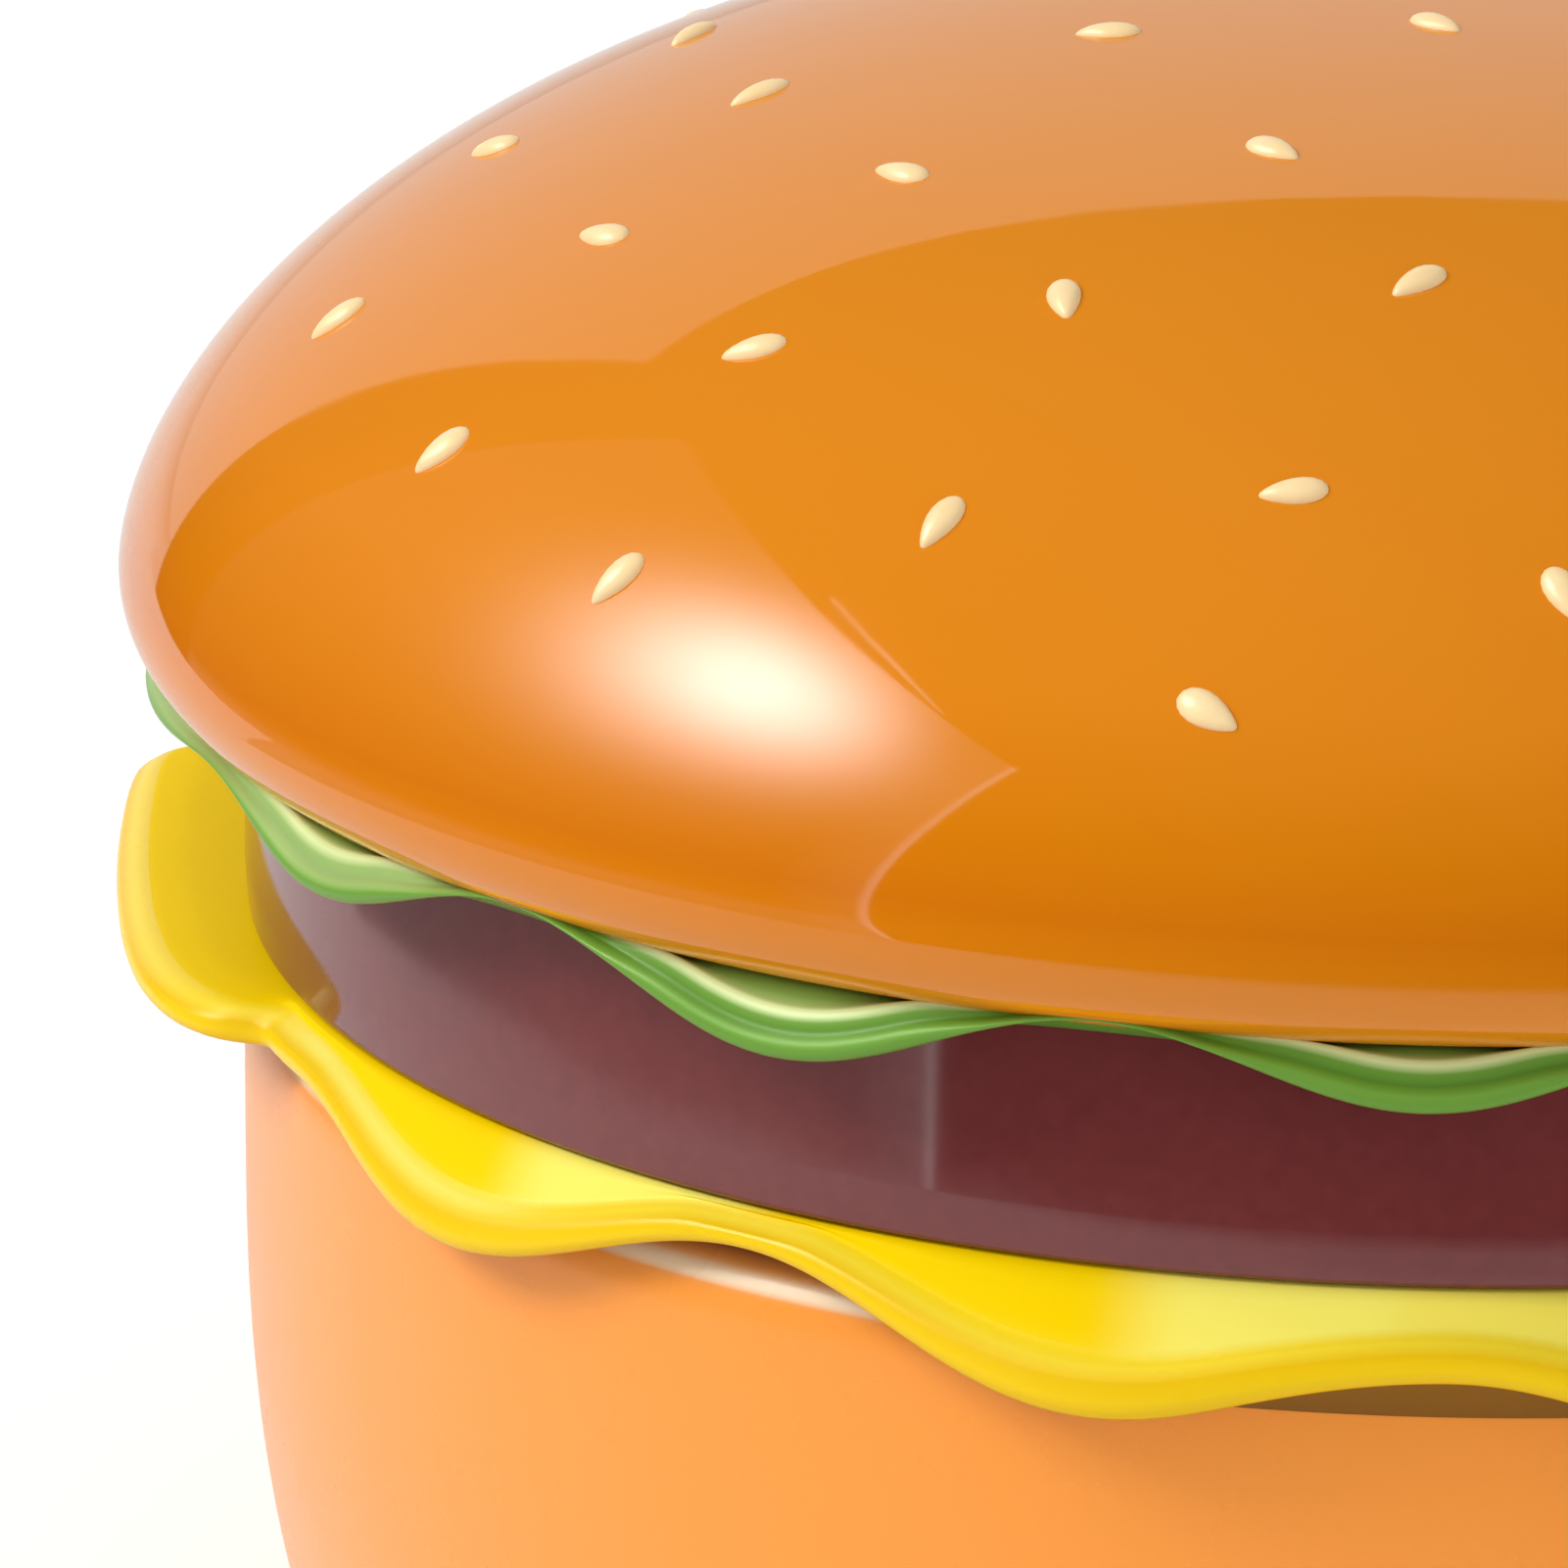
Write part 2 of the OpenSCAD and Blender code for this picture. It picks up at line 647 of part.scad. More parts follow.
module cheese_rim() {
    ring = [for (a = [tab_span:wave_step:360 - tab_span - wave_step]) a];
    stations = concat([for (a = [-tab_span:tab_step:tab_span - tab_step]) a], ring);
    color(CHEESE) {
        difference() {
            polyhedron(points = [for (a = stations) let (
                    mirrored = a > 180 ? 360 - a : abs(a),
                    wave = cheese_drop + cheese_wave_h * cos(cheese_waves * mirrored)
                        - cheese_uneven * cos(cheese_waves * (mirrored - 36) / 2),
                    tab = tab_edge(mirrored),
                    blend = min(1, max(0, (mirrored - tab_span * 0.7) / 8)),
                    drop = lip_t + (wave - lip_t) * blend,
                    edge = max(tab, patty_r + cheese_reach + cheese_flare * (drop - lip_t)),
                    low = z_split - drop,
                    under = max(low + 0.2, z_bun_top))
                for (p = [[well_r, z_bun_top], [well_r, z_split],
                    [max(patty_r, edge - lip_t), z_split - 0.01],
                    [edge - 0.8, low + lip_t - 0.15], [edge - 0.1, low + lip_t * 0.7],
                        [edge, low + lip_t * 0.4],
                    [edge - 0.6, low + 0.1], [edge - lip_t * 0.6, low], [edge - lip_t, under],
                    [bun_top_r, z_bun_top]]) around(a, p[0], p[1])],
                faces = ring_faces(len(stations), 10));
            // Notch for the hinge block
            translate([block_x0 - 0.2, -block_w / 2 - 0.2, z_floor]) cube([bun_r, block_w + 0.4, z_top]);
            for (a = deck_screw_angles) rotate([0, 0, a])
                translate([deck_screw_pcr, 0, z_bun_top - 1])
                    cylinder(r = small_screw_r + pilot_gap, h = cheese_t);
        }
    }
}

function key_place(i) = i < 12
    ? [key_first_x - key_pitch_x * floor(i / 3), key_pitch_y * key_cols[i % 3]]
    : [key_first_x - key_pitch_x * 4, key_pitch_y * key_cols[i - 12]];

module board_posts() {
    for (x = [board_x0 + post_in, board_x1 - post_in]) for (y = [-1, 1])
        translate([x, y * (board_half_y - post_in), 0]) children();
}

module keypad_plate() {
    color(CHEESE) {
        difference() {
            union() {
                translate([0, 0, z_deck_under]) cylinder(r = deck_r, h = deck_t);
                at_corners(column_pcr) translate([0, 0, column_top])
                    cylinder(r = column_r - 0.6, h = z_deck - 0.5 - column_top);
                board_posts() translate([0, 0, board_top])
                    cylinder(r = post_r, h = z_deck - 0.5 - board_top);
                translate([mic_x, 0, z_deck_under - mic_socket_h])
                    cylinder(r = mic_socket_r, h = mic_socket_h + 0.5);
                for (y = [-block_screw_y, block_screw_y]) translate([block_screw_x, y, z_deck_under - 4])
                    cylinder(r = 2.2, h = 4.5);
            }
            translate([mic_x, 0, z_deck_under - mic_socket_h - 1])
                cylinder(r = mic_r + mic_boot_t + 0.05, h = mic_socket_h + 1);
            for (y = [-2.6, 0, 2.6]) translate([mic_x, y, z_deck_under - 1])
                cylinder(r = mic_hole_r, h = deck_t + 2);
            for (i = [0:len(KEYS) - 1]) translate([key_place(i)[0], key_place(i)[1], z_deck_under - 1])
                round_bar(key_x + 2 * key_gap, key_y + 2 * key_gap, key_corner_r + key_gap, deck_t + 2);
            translate([hook_x, 0, z_deck_under - 1]) cylinder(r = hook_r + run_gap, h = deck_t + 2);
            at_corners(column_pcr) translate([0, 0, column_top - 1])
                cylinder(r = screw_r + pilot_gap, h = pilot_depth + 2.5);
            board_posts() translate([0, 0, board_top - 1])
                cylinder(r = small_screw_r + pilot_gap, h = pilot_depth + 1);
            for (a = deck_screw_angles) rotate([0, 0, a])
                translate([deck_screw_pcr, 0, z_deck_under - 1])
                    cylinder(r = small_screw_r + hole_gap, h = deck_t + 2);
            for (y = [-block_screw_y, block_screw_y]) translate([block_screw_x, y, z_deck_under - 3.5])
                cylinder(r = small_screw_r + pilot_gap, h = deck_t + 6);
        }
    }
}

module key(i, tint) {
    // A rounded cap that tapers in one step, with a flange that the plate holds down
    color(tint) translate([key_place(i)[0], key_place(i)[1], 0]) {
        translate([0, 0, z_deck_under - flange_drop - flange_t])
            round_bar(key_x + 2 * flange_side, key_y + 2 * flange_side, key_corner_r, flange_t);
        translate([0, 0, z_deck_under - flange_drop - 0.5])
            round_bar(key_x, key_y, key_corner_r, deck_t + flange_drop + key_rise);
        translate([0, 0, z_deck + key_rise - 1])
            round_bar(key_x - 0.8, key_y - 0.8, key_corner_r - 0.4, 1);
    }
}

module keypad_mat() {
    mat_w = 2 * (board_half_y - 0.6);
    dome_top = z_deck_under - flange_drop - flange_t - key_travel - 0.1;
    color("#8E9096") {
        difference() {
            union() {
                translate([board_x0 + mat_in, -mat_w / 2, board_top])
                    cube([mat_x1 - board_x0 - mat_in, mat_w, mat_t]);
                for (i = [0:len(KEYS) - 1])
                    translate([key_place(i)[0], key_place(i)[1], board_top + mat_t - 0.2])
                    cylinder(r1 = dome_r, r2 = dome_r * 0.6, h = dome_top - board_top - mat_t + 0.2);
            }
            for (i = [0:len(KEYS) - 1]) translate([key_place(i)[0], key_place(i)[1], board_top - 1])
                cylinder(r = dome_r * 0.6 - 0.8, h = mat_t + 2);
        }
    }
}

module keypad_board() {
    color(BOARD) translate([0, 0, board_top - board_t]) difference() {
        translate([board_x0, -board_half_y, 0]) cube([board_x1 - board_x0, 2 * board_half_y, board_t]);
        board_posts() translate([0, 0, -1]) cylinder(r = small_screw_r + hole_gap, h = board_t + 2);
    }
}

module board_screws() {
    color(STEEL) board_posts() translate([0, 0, board_top - board_t])
        screw(small_screw_r, 5, small_head_r, small_head_h);
}

module mic_boot() {
    color(BLACK) translate([mic_x, 0, z_deck_under - mic_h - mic_boot_t]) difference() {
        cylinder(r = mic_r + mic_boot_t, h = mic_h + mic_boot_t);
        translate([0, 0, -1]) cylinder(r = mic_r + 0.05, h = mic_h + 1);
        for (y = [-2.6, 0, 2.6]) translate([0, y, 0]) cylinder(r = mic_hole_r, h = mic_h + 2);
    }
}

module mic_capsule() {
    color(STEEL) translate([mic_x, 0, z_deck_under - mic_h - mic_boot_t]) cylinder(r = mic_r, h = mic_h);
}

module hook_plunger() {
    flange_top = z_deck_under - hook_travel - 0.1;
    color(BLACK) translate([hook_x, 0, 0]) {
        translate([0, 0, flange_top - 0.5])
            cylinder(r = hook_r, h = z_plate - hook_under_lid - flange_top + 0.5);
        translate([0, 0, flange_top - hook_flange_t]) cylinder(r = hook_flange_r, h = hook_flange_t);
    }
}

module hook_switch() {
    low = board_top;
    high = z_deck_under - hook_travel - 0.1 - hook_flange_t - 0.3;
    color(BLACK) translate([hook_x, 0, 0]) {
        translate([-hook_box / 2, -hook_box / 2, low]) cube([hook_box, hook_box, high - low - 0.6]);
        translate([0, 0, low]) cylinder(r = hook_button_r, h = high - low);
    }
}

module hook_spring() {
    low = board_top + hook_wire_r;
    high = z_deck_under - hook_travel - 0.1 - hook_flange_t - hook_wire_r - 0.05;
    steps = 16 * hook_turns;
    ring = [for (j = [0:7]) [cos(45 * j), sin(45 * j)]];
    color(STEEL) translate([hook_x, 0, 0]) polyhedron(
        points = [for (i = [0:steps]) let (a = 360 * hook_turns * i / steps,
            z = low + 0.05 + (high - low - 0.05) * i / steps)
            for (q = ring) [(hook_spring_r + hook_wire_r * q[0]) * cos(a),
                (hook_spring_r + hook_wire_r * q[0]) * sin(a),
                z + hook_wire_r * q[1]]],
        faces = concat([[for (j = [0:7]) j]], [[for (j = [7:-1:0]) steps * 8 + j]],
            [for (i = [0:steps - 1]) for (j = [0:7]) let (a = i * 8 + j, b = i * 8 + (j + 1) % 8)
                each [[a, b + 8, b], [a, a + 8, b + 8]]]));
}

module main_board() {
    color(BOARD) difference() {
        translate([main_x0, main_y0, main_top - board_t])
            cube([main_x1 - main_x0, main_y1 - main_y0, board_t]);
        at_main_posts() translate([0, 0, main_top - board_t - 1])
            cylinder(r = small_screw_r + hole_gap, h = board_t + 2);
    }
}

module main_board_screws() {
    color(STEEL) at_main_posts() translate([0, 0, main_top]) rotate([180, 0, 0])
        screw(small_screw_r, board_t + pilot_depth - 0.5, small_head_r, small_head_h);
}

module main_chips() {
    color(BLACK) {
        translate([-chip_l / 2, parts_y, main_top]) cube([chip_l, chip_w, chip_h]);
        translate([main_x1 - relay_l, parts_y + capacitor_r, main_top])
            cylinder(r = capacitor_r, h = capacitor_h);
        translate([main_x0 + relay_l / 4, parts_y + 2, main_top]) cube([relay_l, relay_w, relay_h]);
    }
}

module keypad_ribbon() {
    color(CREAM) translate([-ribbon_w / 2, main_y0 + ribbon_t * 1.5, main_top])
        cube([ribbon_w, ribbon_t, board_top - board_t - main_top]);
}

module line_jack() {
    back = main_y1 - jack_depth;
    color(BLACK) difference() {
        translate([jack_x - jack_w / 2, back, main_top]) cube([jack_w, jack_depth, jack_h]);
        translate([jack_x - plug_w / 2, main_y1 - plug_depth, main_top + plug_lift])
            cube([plug_w, plug_depth + 1, plug_h]);
        translate([jack_x - latch_w / 2, main_y1 - plug_depth + 2, main_top + plug_lift])
            cube([latch_w, plug_depth, plug_h + latch_h]);
    }
}

module jack_contacts() {
    color("#D8B04A") for (i = [-1.5:1:1.5])
        translate([jack_x + i * contact_pitch - contact_w / 2, main_y1 - plug_depth + 1,
            main_top + plug_lift])
        rotate([8, 0, 0]) translate([0, 0, 0.3]) cube([contact_w, 6, contact_w]);
}

module slide_switch(x) {
    color(STEEL) translate([x - switch_w / 2, main_y1 - switch_d, main_top]) difference() {
        cube([switch_w, switch_d, switch_h]);
        translate([switch_w / 2 - (knob_x + switch_travel) / 2 - 0.2, switch_d - 2,
            switch_h / 2 - knob_z / 2 - 0.2])
            cube([knob_x + switch_travel + 0.4, 3, knob_z + 0.4]);
    }
}

module slide_knob(x) {
    color(CREAM) translate([x - switch_travel / 2 - knob_x / 2, main_y1 - 1.7, slot_z - knob_z / 2])
        cube([knob_x, rear_y + knob_out - main_y1 + 1.7, knob_z]);
}

module ringer_switch() { slide_switch(ringer_sw_x); }

module tone_switch() { slide_switch(tone_sw_x); }

module ringer_knob() { slide_knob(ringer_sw_x); }

module tone_knob() { slide_knob(tone_sw_x); }

module ringer_cup() {
    color(BLACK) translate([ring_x, ring_y, z_floor + shell_t]) difference() {
        cylinder(r = ring_cup_r, h = ring_cup_h);
        translate([0, 0, -1]) cylinder(r = piezo_r - 1, h = ring_cup_h + 1 - ring_cup_t);
        translate([0, 0, 2]) cylinder(r = piezo_r + 0.05, h = ring_cup_h - 2 - ring_cup_t);
        translate([0, 0, ring_cup_h - ring_cup_t - 0.5]) cylinder(r = 2, h = ring_cup_t + 1);
    }
}

module piezo_disc() {
    color("#C9A34E") translate([ring_x, ring_y, z_floor + shell_t + 2]) {
        cylinder(r = piezo_r, h = piezo_t / 2);
        cylinder(r = piezo_r * 0.7, h = piezo_t);
    }
}

module case_screws() {
    color(STEEL) at_corners(column_pcr) translate([0, 0, column_top - column_step])
        screw(screw_r, column_step + pilot_depth, head_r, head_h);
}

module deck_screws() {
    color(STEEL) for (a = deck_screw_angles) rotate([0, 0, a])
        translate([deck_screw_pcr, 0, z_deck_under])
            screw(small_screw_r - 0.02, deck_t + cheese_t - 1.2, small_head_r, small_head_h);
}

module hinge_block() {
    color(CHEESE) {
        difference() {
            union() {
                translate([block_x0, -block_w / 2, z_bun_top])
                    cube([block_x1 - block_x0, block_w, block_top - z_bun_top]);
                translate([hinge_x, block_w / 2, hinge_z]) rotate([90, 0, 0])
                    cylinder(r = knuckle_r, h = block_w);
                translate([block_x1 - 1, -block_w / 2, hinge_z - knuckle_r])
                    cube([hinge_x - block_x1 + 1, block_w, knuckle_r + lid_gap / 4]);
            }
            // Room for the lid's knuckle and arm
            translate([arm_x0 - 0.4, -arm_w / 2 - knuckle_side, z_floor])
                cube([bun_r, arm_w + 2 * knuckle_side, z_top]);
            // Press fit for the pin
            translate([hinge_x, block_w / 2 + 1, hinge_z]) rotate([90, 0, 0])
                cylinder(r = pin_r + run_gap / 2, h = block_w + 2);
            for (y = [-block_screw_y, block_screw_y]) translate([block_screw_x, y, 0]) {
                cylinder(r = small_screw_r + hole_gap, h = z_split);
                translate([0, 0, block_top - small_head_h - 0.1])
                    cylinder(r = small_head_r + hole_gap, h = 5);
            }
        }
    }
}

module hinge_screws() {
    color(STEEL) for (y = [-block_screw_y, block_screw_y])
        translate([block_screw_x, y, block_top - small_head_h - 0.1])
        rotate([180, 0, 0]) screw(small_screw_r, block_top - small_head_h - z_deck_under + 2,
            small_head_r, small_head_h);
}

module hinge_pin() {
    color(STEEL) translate([hinge_x, pin_l / 2, hinge_z]) rotate([90, 0, 0])
        cylinder(r = pin_r, h = pin_l);
}

module rubber_feet() {
    color(BLACK) for (a = [0:90:270]) rotate([0, 0, a]) translate([foot_pcr, 0, 0])
        cylinder(r = foot_r, h = foot_h + foot_seat);
}

module number_key(i) { key(i, CREAM); }

module function_key(i) { key(i, "#C24A30"); }

top_bun();
sesame_seeds();
lettuce_frill();
patty_ring();
earpiece_plate();
receiver_gasket();
receiver_diaphragm();
receiver_frame();
receiver_magnet();
receiver_retainer();
retainer_screws();
lid_screws();
hinge_arm();
arm_screws();
bottom_bun();
cheese_rim();
keypad_plate();
keypad_mat();
keypad_board();
board_screws();
mic_boot();
mic_capsule();
hook_switch();
hook_spring();
main_board();
main_board_screws();
main_chips();
keypad_ribbon();
line_jack();
jack_contacts();
ringer_switch();
tone_switch();
ringer_cup();
piezo_disc();
case_screws();
deck_screws();
hinge_block();
hinge_screws();
hinge_pin();
rubber_feet();
hook_plunger();
ringer_knob();
tone_knob();
number_key(0);  // key_1
number_key(1);  // key_2
number_key(2);  // key_3
number_key(3);  // key_4
number_key(4);  // key_5
number_key(5);  // key_6
number_key(6);  // key_7
number_key(7);  // key_8
number_key(8);  // key_9
number_key(9);  // key_star
number_key(10);  // key_0
number_key(11);  // key_hash
function_key(12);  // key_mute
function_key(13);  // key_flash
function_key(14);  // key_redial
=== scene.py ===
from math import atan2, cos, degrees, hypot, pi, radians, sin, tan

import bmesh
import bpy
from mathutils import Matrix, Vector, noise


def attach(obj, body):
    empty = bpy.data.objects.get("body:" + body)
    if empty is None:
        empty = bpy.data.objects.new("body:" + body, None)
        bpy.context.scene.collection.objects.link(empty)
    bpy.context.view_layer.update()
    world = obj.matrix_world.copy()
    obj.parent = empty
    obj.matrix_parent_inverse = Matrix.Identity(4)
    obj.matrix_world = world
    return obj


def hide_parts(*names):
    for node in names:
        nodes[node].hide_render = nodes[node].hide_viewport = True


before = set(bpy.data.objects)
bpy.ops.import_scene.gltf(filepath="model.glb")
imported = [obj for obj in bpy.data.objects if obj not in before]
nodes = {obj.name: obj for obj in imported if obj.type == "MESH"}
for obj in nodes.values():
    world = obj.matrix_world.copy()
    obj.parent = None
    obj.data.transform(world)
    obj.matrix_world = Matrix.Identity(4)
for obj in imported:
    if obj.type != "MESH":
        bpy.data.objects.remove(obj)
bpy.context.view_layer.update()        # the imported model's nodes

# A novelty telephone shaped like a cheeseburger: finger tab at -X, hinge at +X, sockets at +Y.
# Sizes in the dictionaries of the pieces are in millimetres and degrees.
mm = 0.001
fullTurn = 2 * pi
weldDistance = 0.0005 * mm        # points closer than this become one
scene = bpy.context.scene


# Small helpers
def srgb(code):          # hex sRGB to the linear colour that the shaders work in
    values = [int(code[i:i + 2], 16) / 255 for i in (1, 3, 5)]
    return [v / 12.92 if v <= 0.04045 else ((v + 0.055) / 1.055) ** 2.4 for v in values] + [1]


def addNode(tree, kind, settings=None, links=None):     # a node linked from stands for its first output
    node = tree.nodes.new("ShaderNode" + kind)
    for key, value in (settings or {}).items():
        if isinstance(key, int) or key in node.inputs:
            node.inputs[key].default_value = value
        else:
            setattr(node, key, value)
    for key, source in (links or {}).items():
        tree.links.new(getattr(source, "outputs", [source])[0], node.inputs[key])
    return node


def newMaterial(name):
    mat = bpy.data.materials.new(name)
    mat.use_nodes = True
    mat.node_tree.nodes.clear()
    return mat, mat.node_tree


def finishMaterial(tree, shader):
    addNode(tree, "OutputMaterial", links={"Surface": shader})


def around(a, r, z):     # a in degrees from the finger tab towards the front, r and z in mm
    return Vector((-r * cos(radians(a)), -r * sin(radians(a)), z)) * mm


def angleOf(co):
    return degrees(atan2(-co.y, -co.x))


def quarterTurn(steps):     # angles from 0 to 90 degrees, in radians
    return [pi / 2 * i / steps for i in range(steps + 1)]


def smoothStep(low, high, value):
    t = min(1, max(0, (value - low) / (high - low)))
    return t * t * (3 - 2 * t)


def spinOutline(outline, steps, closed=True):
    bm = bmesh.new()
    verts = [bm.verts.new((r * mm, 0, z * mm)) for r, z in outline]
    pairs = list(zip(verts, verts[1:])) + ([(verts[-1], verts[0])] if closed else [])
    edges = [bm.edges.new(pair) for pair in pairs]
    bmesh.ops.spin(bm, geom=verts + edges, cent=(0, 0, 0), axis=(0, 0, 1), angle=fullTurn,
                   steps=steps, use_merge=True)
    bmesh.ops.remove_doubles(bm, verts=bm.verts, dist=weldDistance)
    bmesh.ops.dissolve_degenerate(bm, edges=bm.edges, dist=weldDistance / 5)
    bmesh.ops.recalc_face_normals(bm, faces=bm.faces)
    return bm


def spinWave(outlineAt, steps, paintedLightAt):
    # Spins the outline at angle 0, then gives every ring of points the outline at its own angle.
    # "along" is the point's share of the way round the outline; the other layer holds how much painted light
    # the given function puts at the place.
    base = outlineAt(0.0)
    bm = spinOutline(base, steps)
    along = bm.verts.layers.float.new("along")
    paintedLight = bm.verts.layers.float.new("paintedLight")
    made = {}
    for vert in bm.verts:
        r, z = hypot(vert.co.x, vert.co.y) / mm, vert.co.z / mm
        place = min(range(len(base)), key=lambda k: abs(base[k][0] - r) + abs(base[k][1] - z))
        a = round(angleOf(vert.co), 3)
        if a not in made:
            made[a] = outlineAt(a)
        vert.co = around(a, *made[a][place])
        vert[along] = place / (len(base) - 1)
        vert[paintedLight] = paintedLightAt(a, place)
    return bm


def addObject(name, data):
    obj = bpy.data.objects.new(name, data)
    scene.collection.objects.link(obj)
    return obj


def makeObject(bm, name, materials, sharp=35):     # edges that bend more than sharp degrees stay crisp
    for face in bm.faces:
        face.smooth = True
    for edge in bm.edges:
        edge.smooth = len(edge.link_faces) == 2 and edge.calc_face_angle(0) < radians(sharp)
    mesh = bpy.data.meshes.new(name)
    bm.to_mesh(mesh)
    bm.free()
    for mat in materials:
        mesh.materials.append(mat)
    return addObject(name, mesh)


def settle(obj, body, slotName, *replaced):
    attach(obj, body)
    if replaced:
        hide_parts(*replaced)


def roundOff(obj, levels):
    step = obj.modifiers.new("round", "SUBSURF")
    step.levels = step.render_levels = levels


def finalMesh(obj):      # the object's shape with its modifiers applied
    bpy.context.view_layer.update()
    return bpy.data.meshes.new_from_object(obj.evaluated_get(bpy.context.evaluated_depsgraph_get()))


def box(bm, low, high):
    made = bmesh.ops.create_cube(bm, size=1)["verts"]
    size = [h - l for l, h in zip(low, high)]
    bmesh.ops.scale(bm, vec=Vector(size) * mm, verts=made)
    bmesh.ops.translate(bm, vec=Vector([(l + h) / 2 for l, h in zip(low, high)]) * mm, verts=made)


def rod(bm, centre, r, z0, z1):
    made = bmesh.ops.create_cone(bm, cap_ends=True, segments=48, radius1=r * mm, radius2=r * mm,
                                 depth=(z1 - z0) * mm)["verts"]
    bmesh.ops.translate(bm, vec=Vector((centre[0], centre[1], (z0 + z1) / 2)) * mm, verts=made)


def carve(obj, cutter, operation="DIFFERENCE"):
    cutMesh = bpy.data.meshes.new("cutter")
    bmesh.ops.recalc_face_normals(cutter, faces=cutter.faces)
    cutter.to_mesh(cutMesh)
    cutter.free()
    cutObj = addObject("cutter", cutMesh)
    step = obj.modifiers.new("carve", "BOOLEAN")
    step.operation, step.solver, step.object = operation, "EXACT", cutObj
    step.use_self = True
    carved = finalMesh(obj)
    obj.modifiers.clear()
    obj.data = carved
    bpy.data.objects.remove(cutObj)


# Camera
cameraLook = {
    "place": (-22.71, -765.1, 299.66), "aim": (-35.817, 2.187, 54.048), "roll": 0.234,
    "lens": 349.5, "sensor": 36, "nearest": 50, "furthest": 50000,
}
cameraData = bpy.data.cameras.new("frontCamera")
cameraData.lens, cameraData.sensor_width = cameraLook["lens"], cameraLook["sensor"]
cameraData.clip_start, cameraData.clip_end = cameraLook["nearest"] * mm, cameraLook["furthest"] * mm
cameraObj = addObject("frontCamera", cameraData)
sight = Vector(cameraLook["aim"]) - Vector(cameraLook["place"])
cameraObj.matrix_world = (Matrix.Translation(Vector(cameraLook["place"]) * mm)
                          @ sight.to_track_quat("-Z", "Y").to_matrix().to_4x4()
                          @ Matrix.Rotation(radians(cameraLook["roll"]), 4, "Z"))
scene.camera = cameraObj
scene.view_settings.view_transform = "Standard"
print("camera placed")

# Studio
# In metres and degrees. Directions are azimuths from the front towards +X, seen from the phone.
studio = {
    "fill": 0.54, "fillLow": 0.78, "horizon": 0.2,     # even light from the room and from the pale floor
    "roomGloss": 0.02,                                 # what shiny surfaces see between the panels
    "roundStep": 5,                                    # degrees between the points of a round edge
    # each lamp's azimuth, height, distance, size and level
    "lamps": {"keyLamp": (-81, 40, 1.6, 0.6, 0.62), "frontLamp": (28, 12, 1.8, 0.9, 0.18)},
}


def direction(azimuth, height):
    a, h = radians(azimuth), radians(height)
    return Vector((sin(a) * cos(h), -cos(a) * cos(h), sin(h)))


def arc(start, end, radius):
    return [direction(a, 0) * radius for a in range(start, end + 1, studio["roundStep"])]


def studioPiece(bm, name, mat, camera=False):
    obj = makeObject(bm, name, [mat])
    obj.visible_camera = camera
    if not camera:
        obj.visible_diffuse = obj.visible_shadow = False


# White seamless paper with a round front edge under the phone, widening behind it through the points
# "behind". Its front edge is painted grey, a painted shade, and the camera sees it a little lighter than it
# is.
paperSheet = {
    "radius": 0.21, "turn": 112, "behind": [(0.36, 0.13), (0.42, 0.6), (1.72, 2.46)], "sunk": 0.02 * mm,
    "grey": "#6A6A6A", "white": "#F4F4F4", "greyAt": -0.21, "whiteAt": -0.14, "lift": 0.22,
}
paper, paperTree = newMaterial("whiteSeamlessPaper")
paperRays = addNode(paperTree, "LightPath")
paperPlace = addNode(paperTree, "TexCoord")
paperWay = addNode(paperTree, "SeparateXYZ", links={0: paperPlace.outputs["Object"]})
paperNear = addNode(paperTree, "MapRange",
                    {"interpolation_type": "SMOOTHSTEP", "From Min": paperSheet["greyAt"],
                     "From Max": paperSheet["whiteAt"]}, {"Value": paperWay.outputs["Y"]})
paperTint = addNode(paperTree, "Mix",
                    {"data_type": "RGBA", 6: srgb(paperSheet["grey"]), 7: srgb(paperSheet["white"])},
                    {0: paperNear})
paperWhite = addNode(paperTree, "BsdfDiffuse", links={"Color": paperTint.outputs[2]})
paperShare = addNode(paperTree, "Math", {"operation": "MULTIPLY", 1: paperSheet["lift"]},
                     {0: paperRays.outputs["Is Camera Ray"]})
paperLift = addNode(paperTree, "Emission", links={"Strength": paperShare})
paperSum = addNode(paperTree, "AddShader", links={0: paperWhite, 1: paperLift})
finishMaterial(paperTree, paperSum)
bm = bmesh.new()
right = [Vector((x, y, 0)) for x, y in paperSheet["behind"]]
left = [Vector((-x, y, 0)) for x, y in reversed(paperSheet["behind"])]
sheetEdge = arc(-paperSheet["turn"], paperSheet["turn"], paperSheet["radius"]) + right + left
sheetFace = bm.faces.new([bm.verts.new(p - Vector((0, 0, paperSheet["sunk"]))) for p in sheetEdge])
bmesh.ops.recalc_face_normals(bm, faces=bm.faces)
if sheetFace.normal.z < 0:
    bmesh.ops.reverse_faces(bm, faces=bm.faces)
studioPiece(bm, "paperSheet", paper, camera=True)

# White backdrop that shiny surfaces see behind the phone, a little dimmer towards its top. It reaches "half"
# degrees to each side and "top" degrees up.
backdrop = {"radius": 3.0, "half": 35, "under": 0.3, "top": 40.3, "footLevel": 0.71, "headLevel": 0.62}
backMat, backTree = newMaterial("litBackdropCloth")
backPlace = addNode(backTree, "TexCoord")
backUp = addNode(backTree, "SeparateXYZ", links={0: backPlace.outputs["Object"]})
backTopZ = backdrop["radius"] * tan(radians(backdrop["top"]))
backFade = addNode(backTree, "MapRange",
                   {"From Max": backTopZ, "To Min": backdrop["footLevel"], "To Max": backdrop["headLevel"]},
                   {"Value": backUp.outputs["Z"]})
backGlow = addNode(backTree, "Emission", links={"Strength": backFade})
finishMaterial(backTree, backGlow)
bm = bmesh.new()
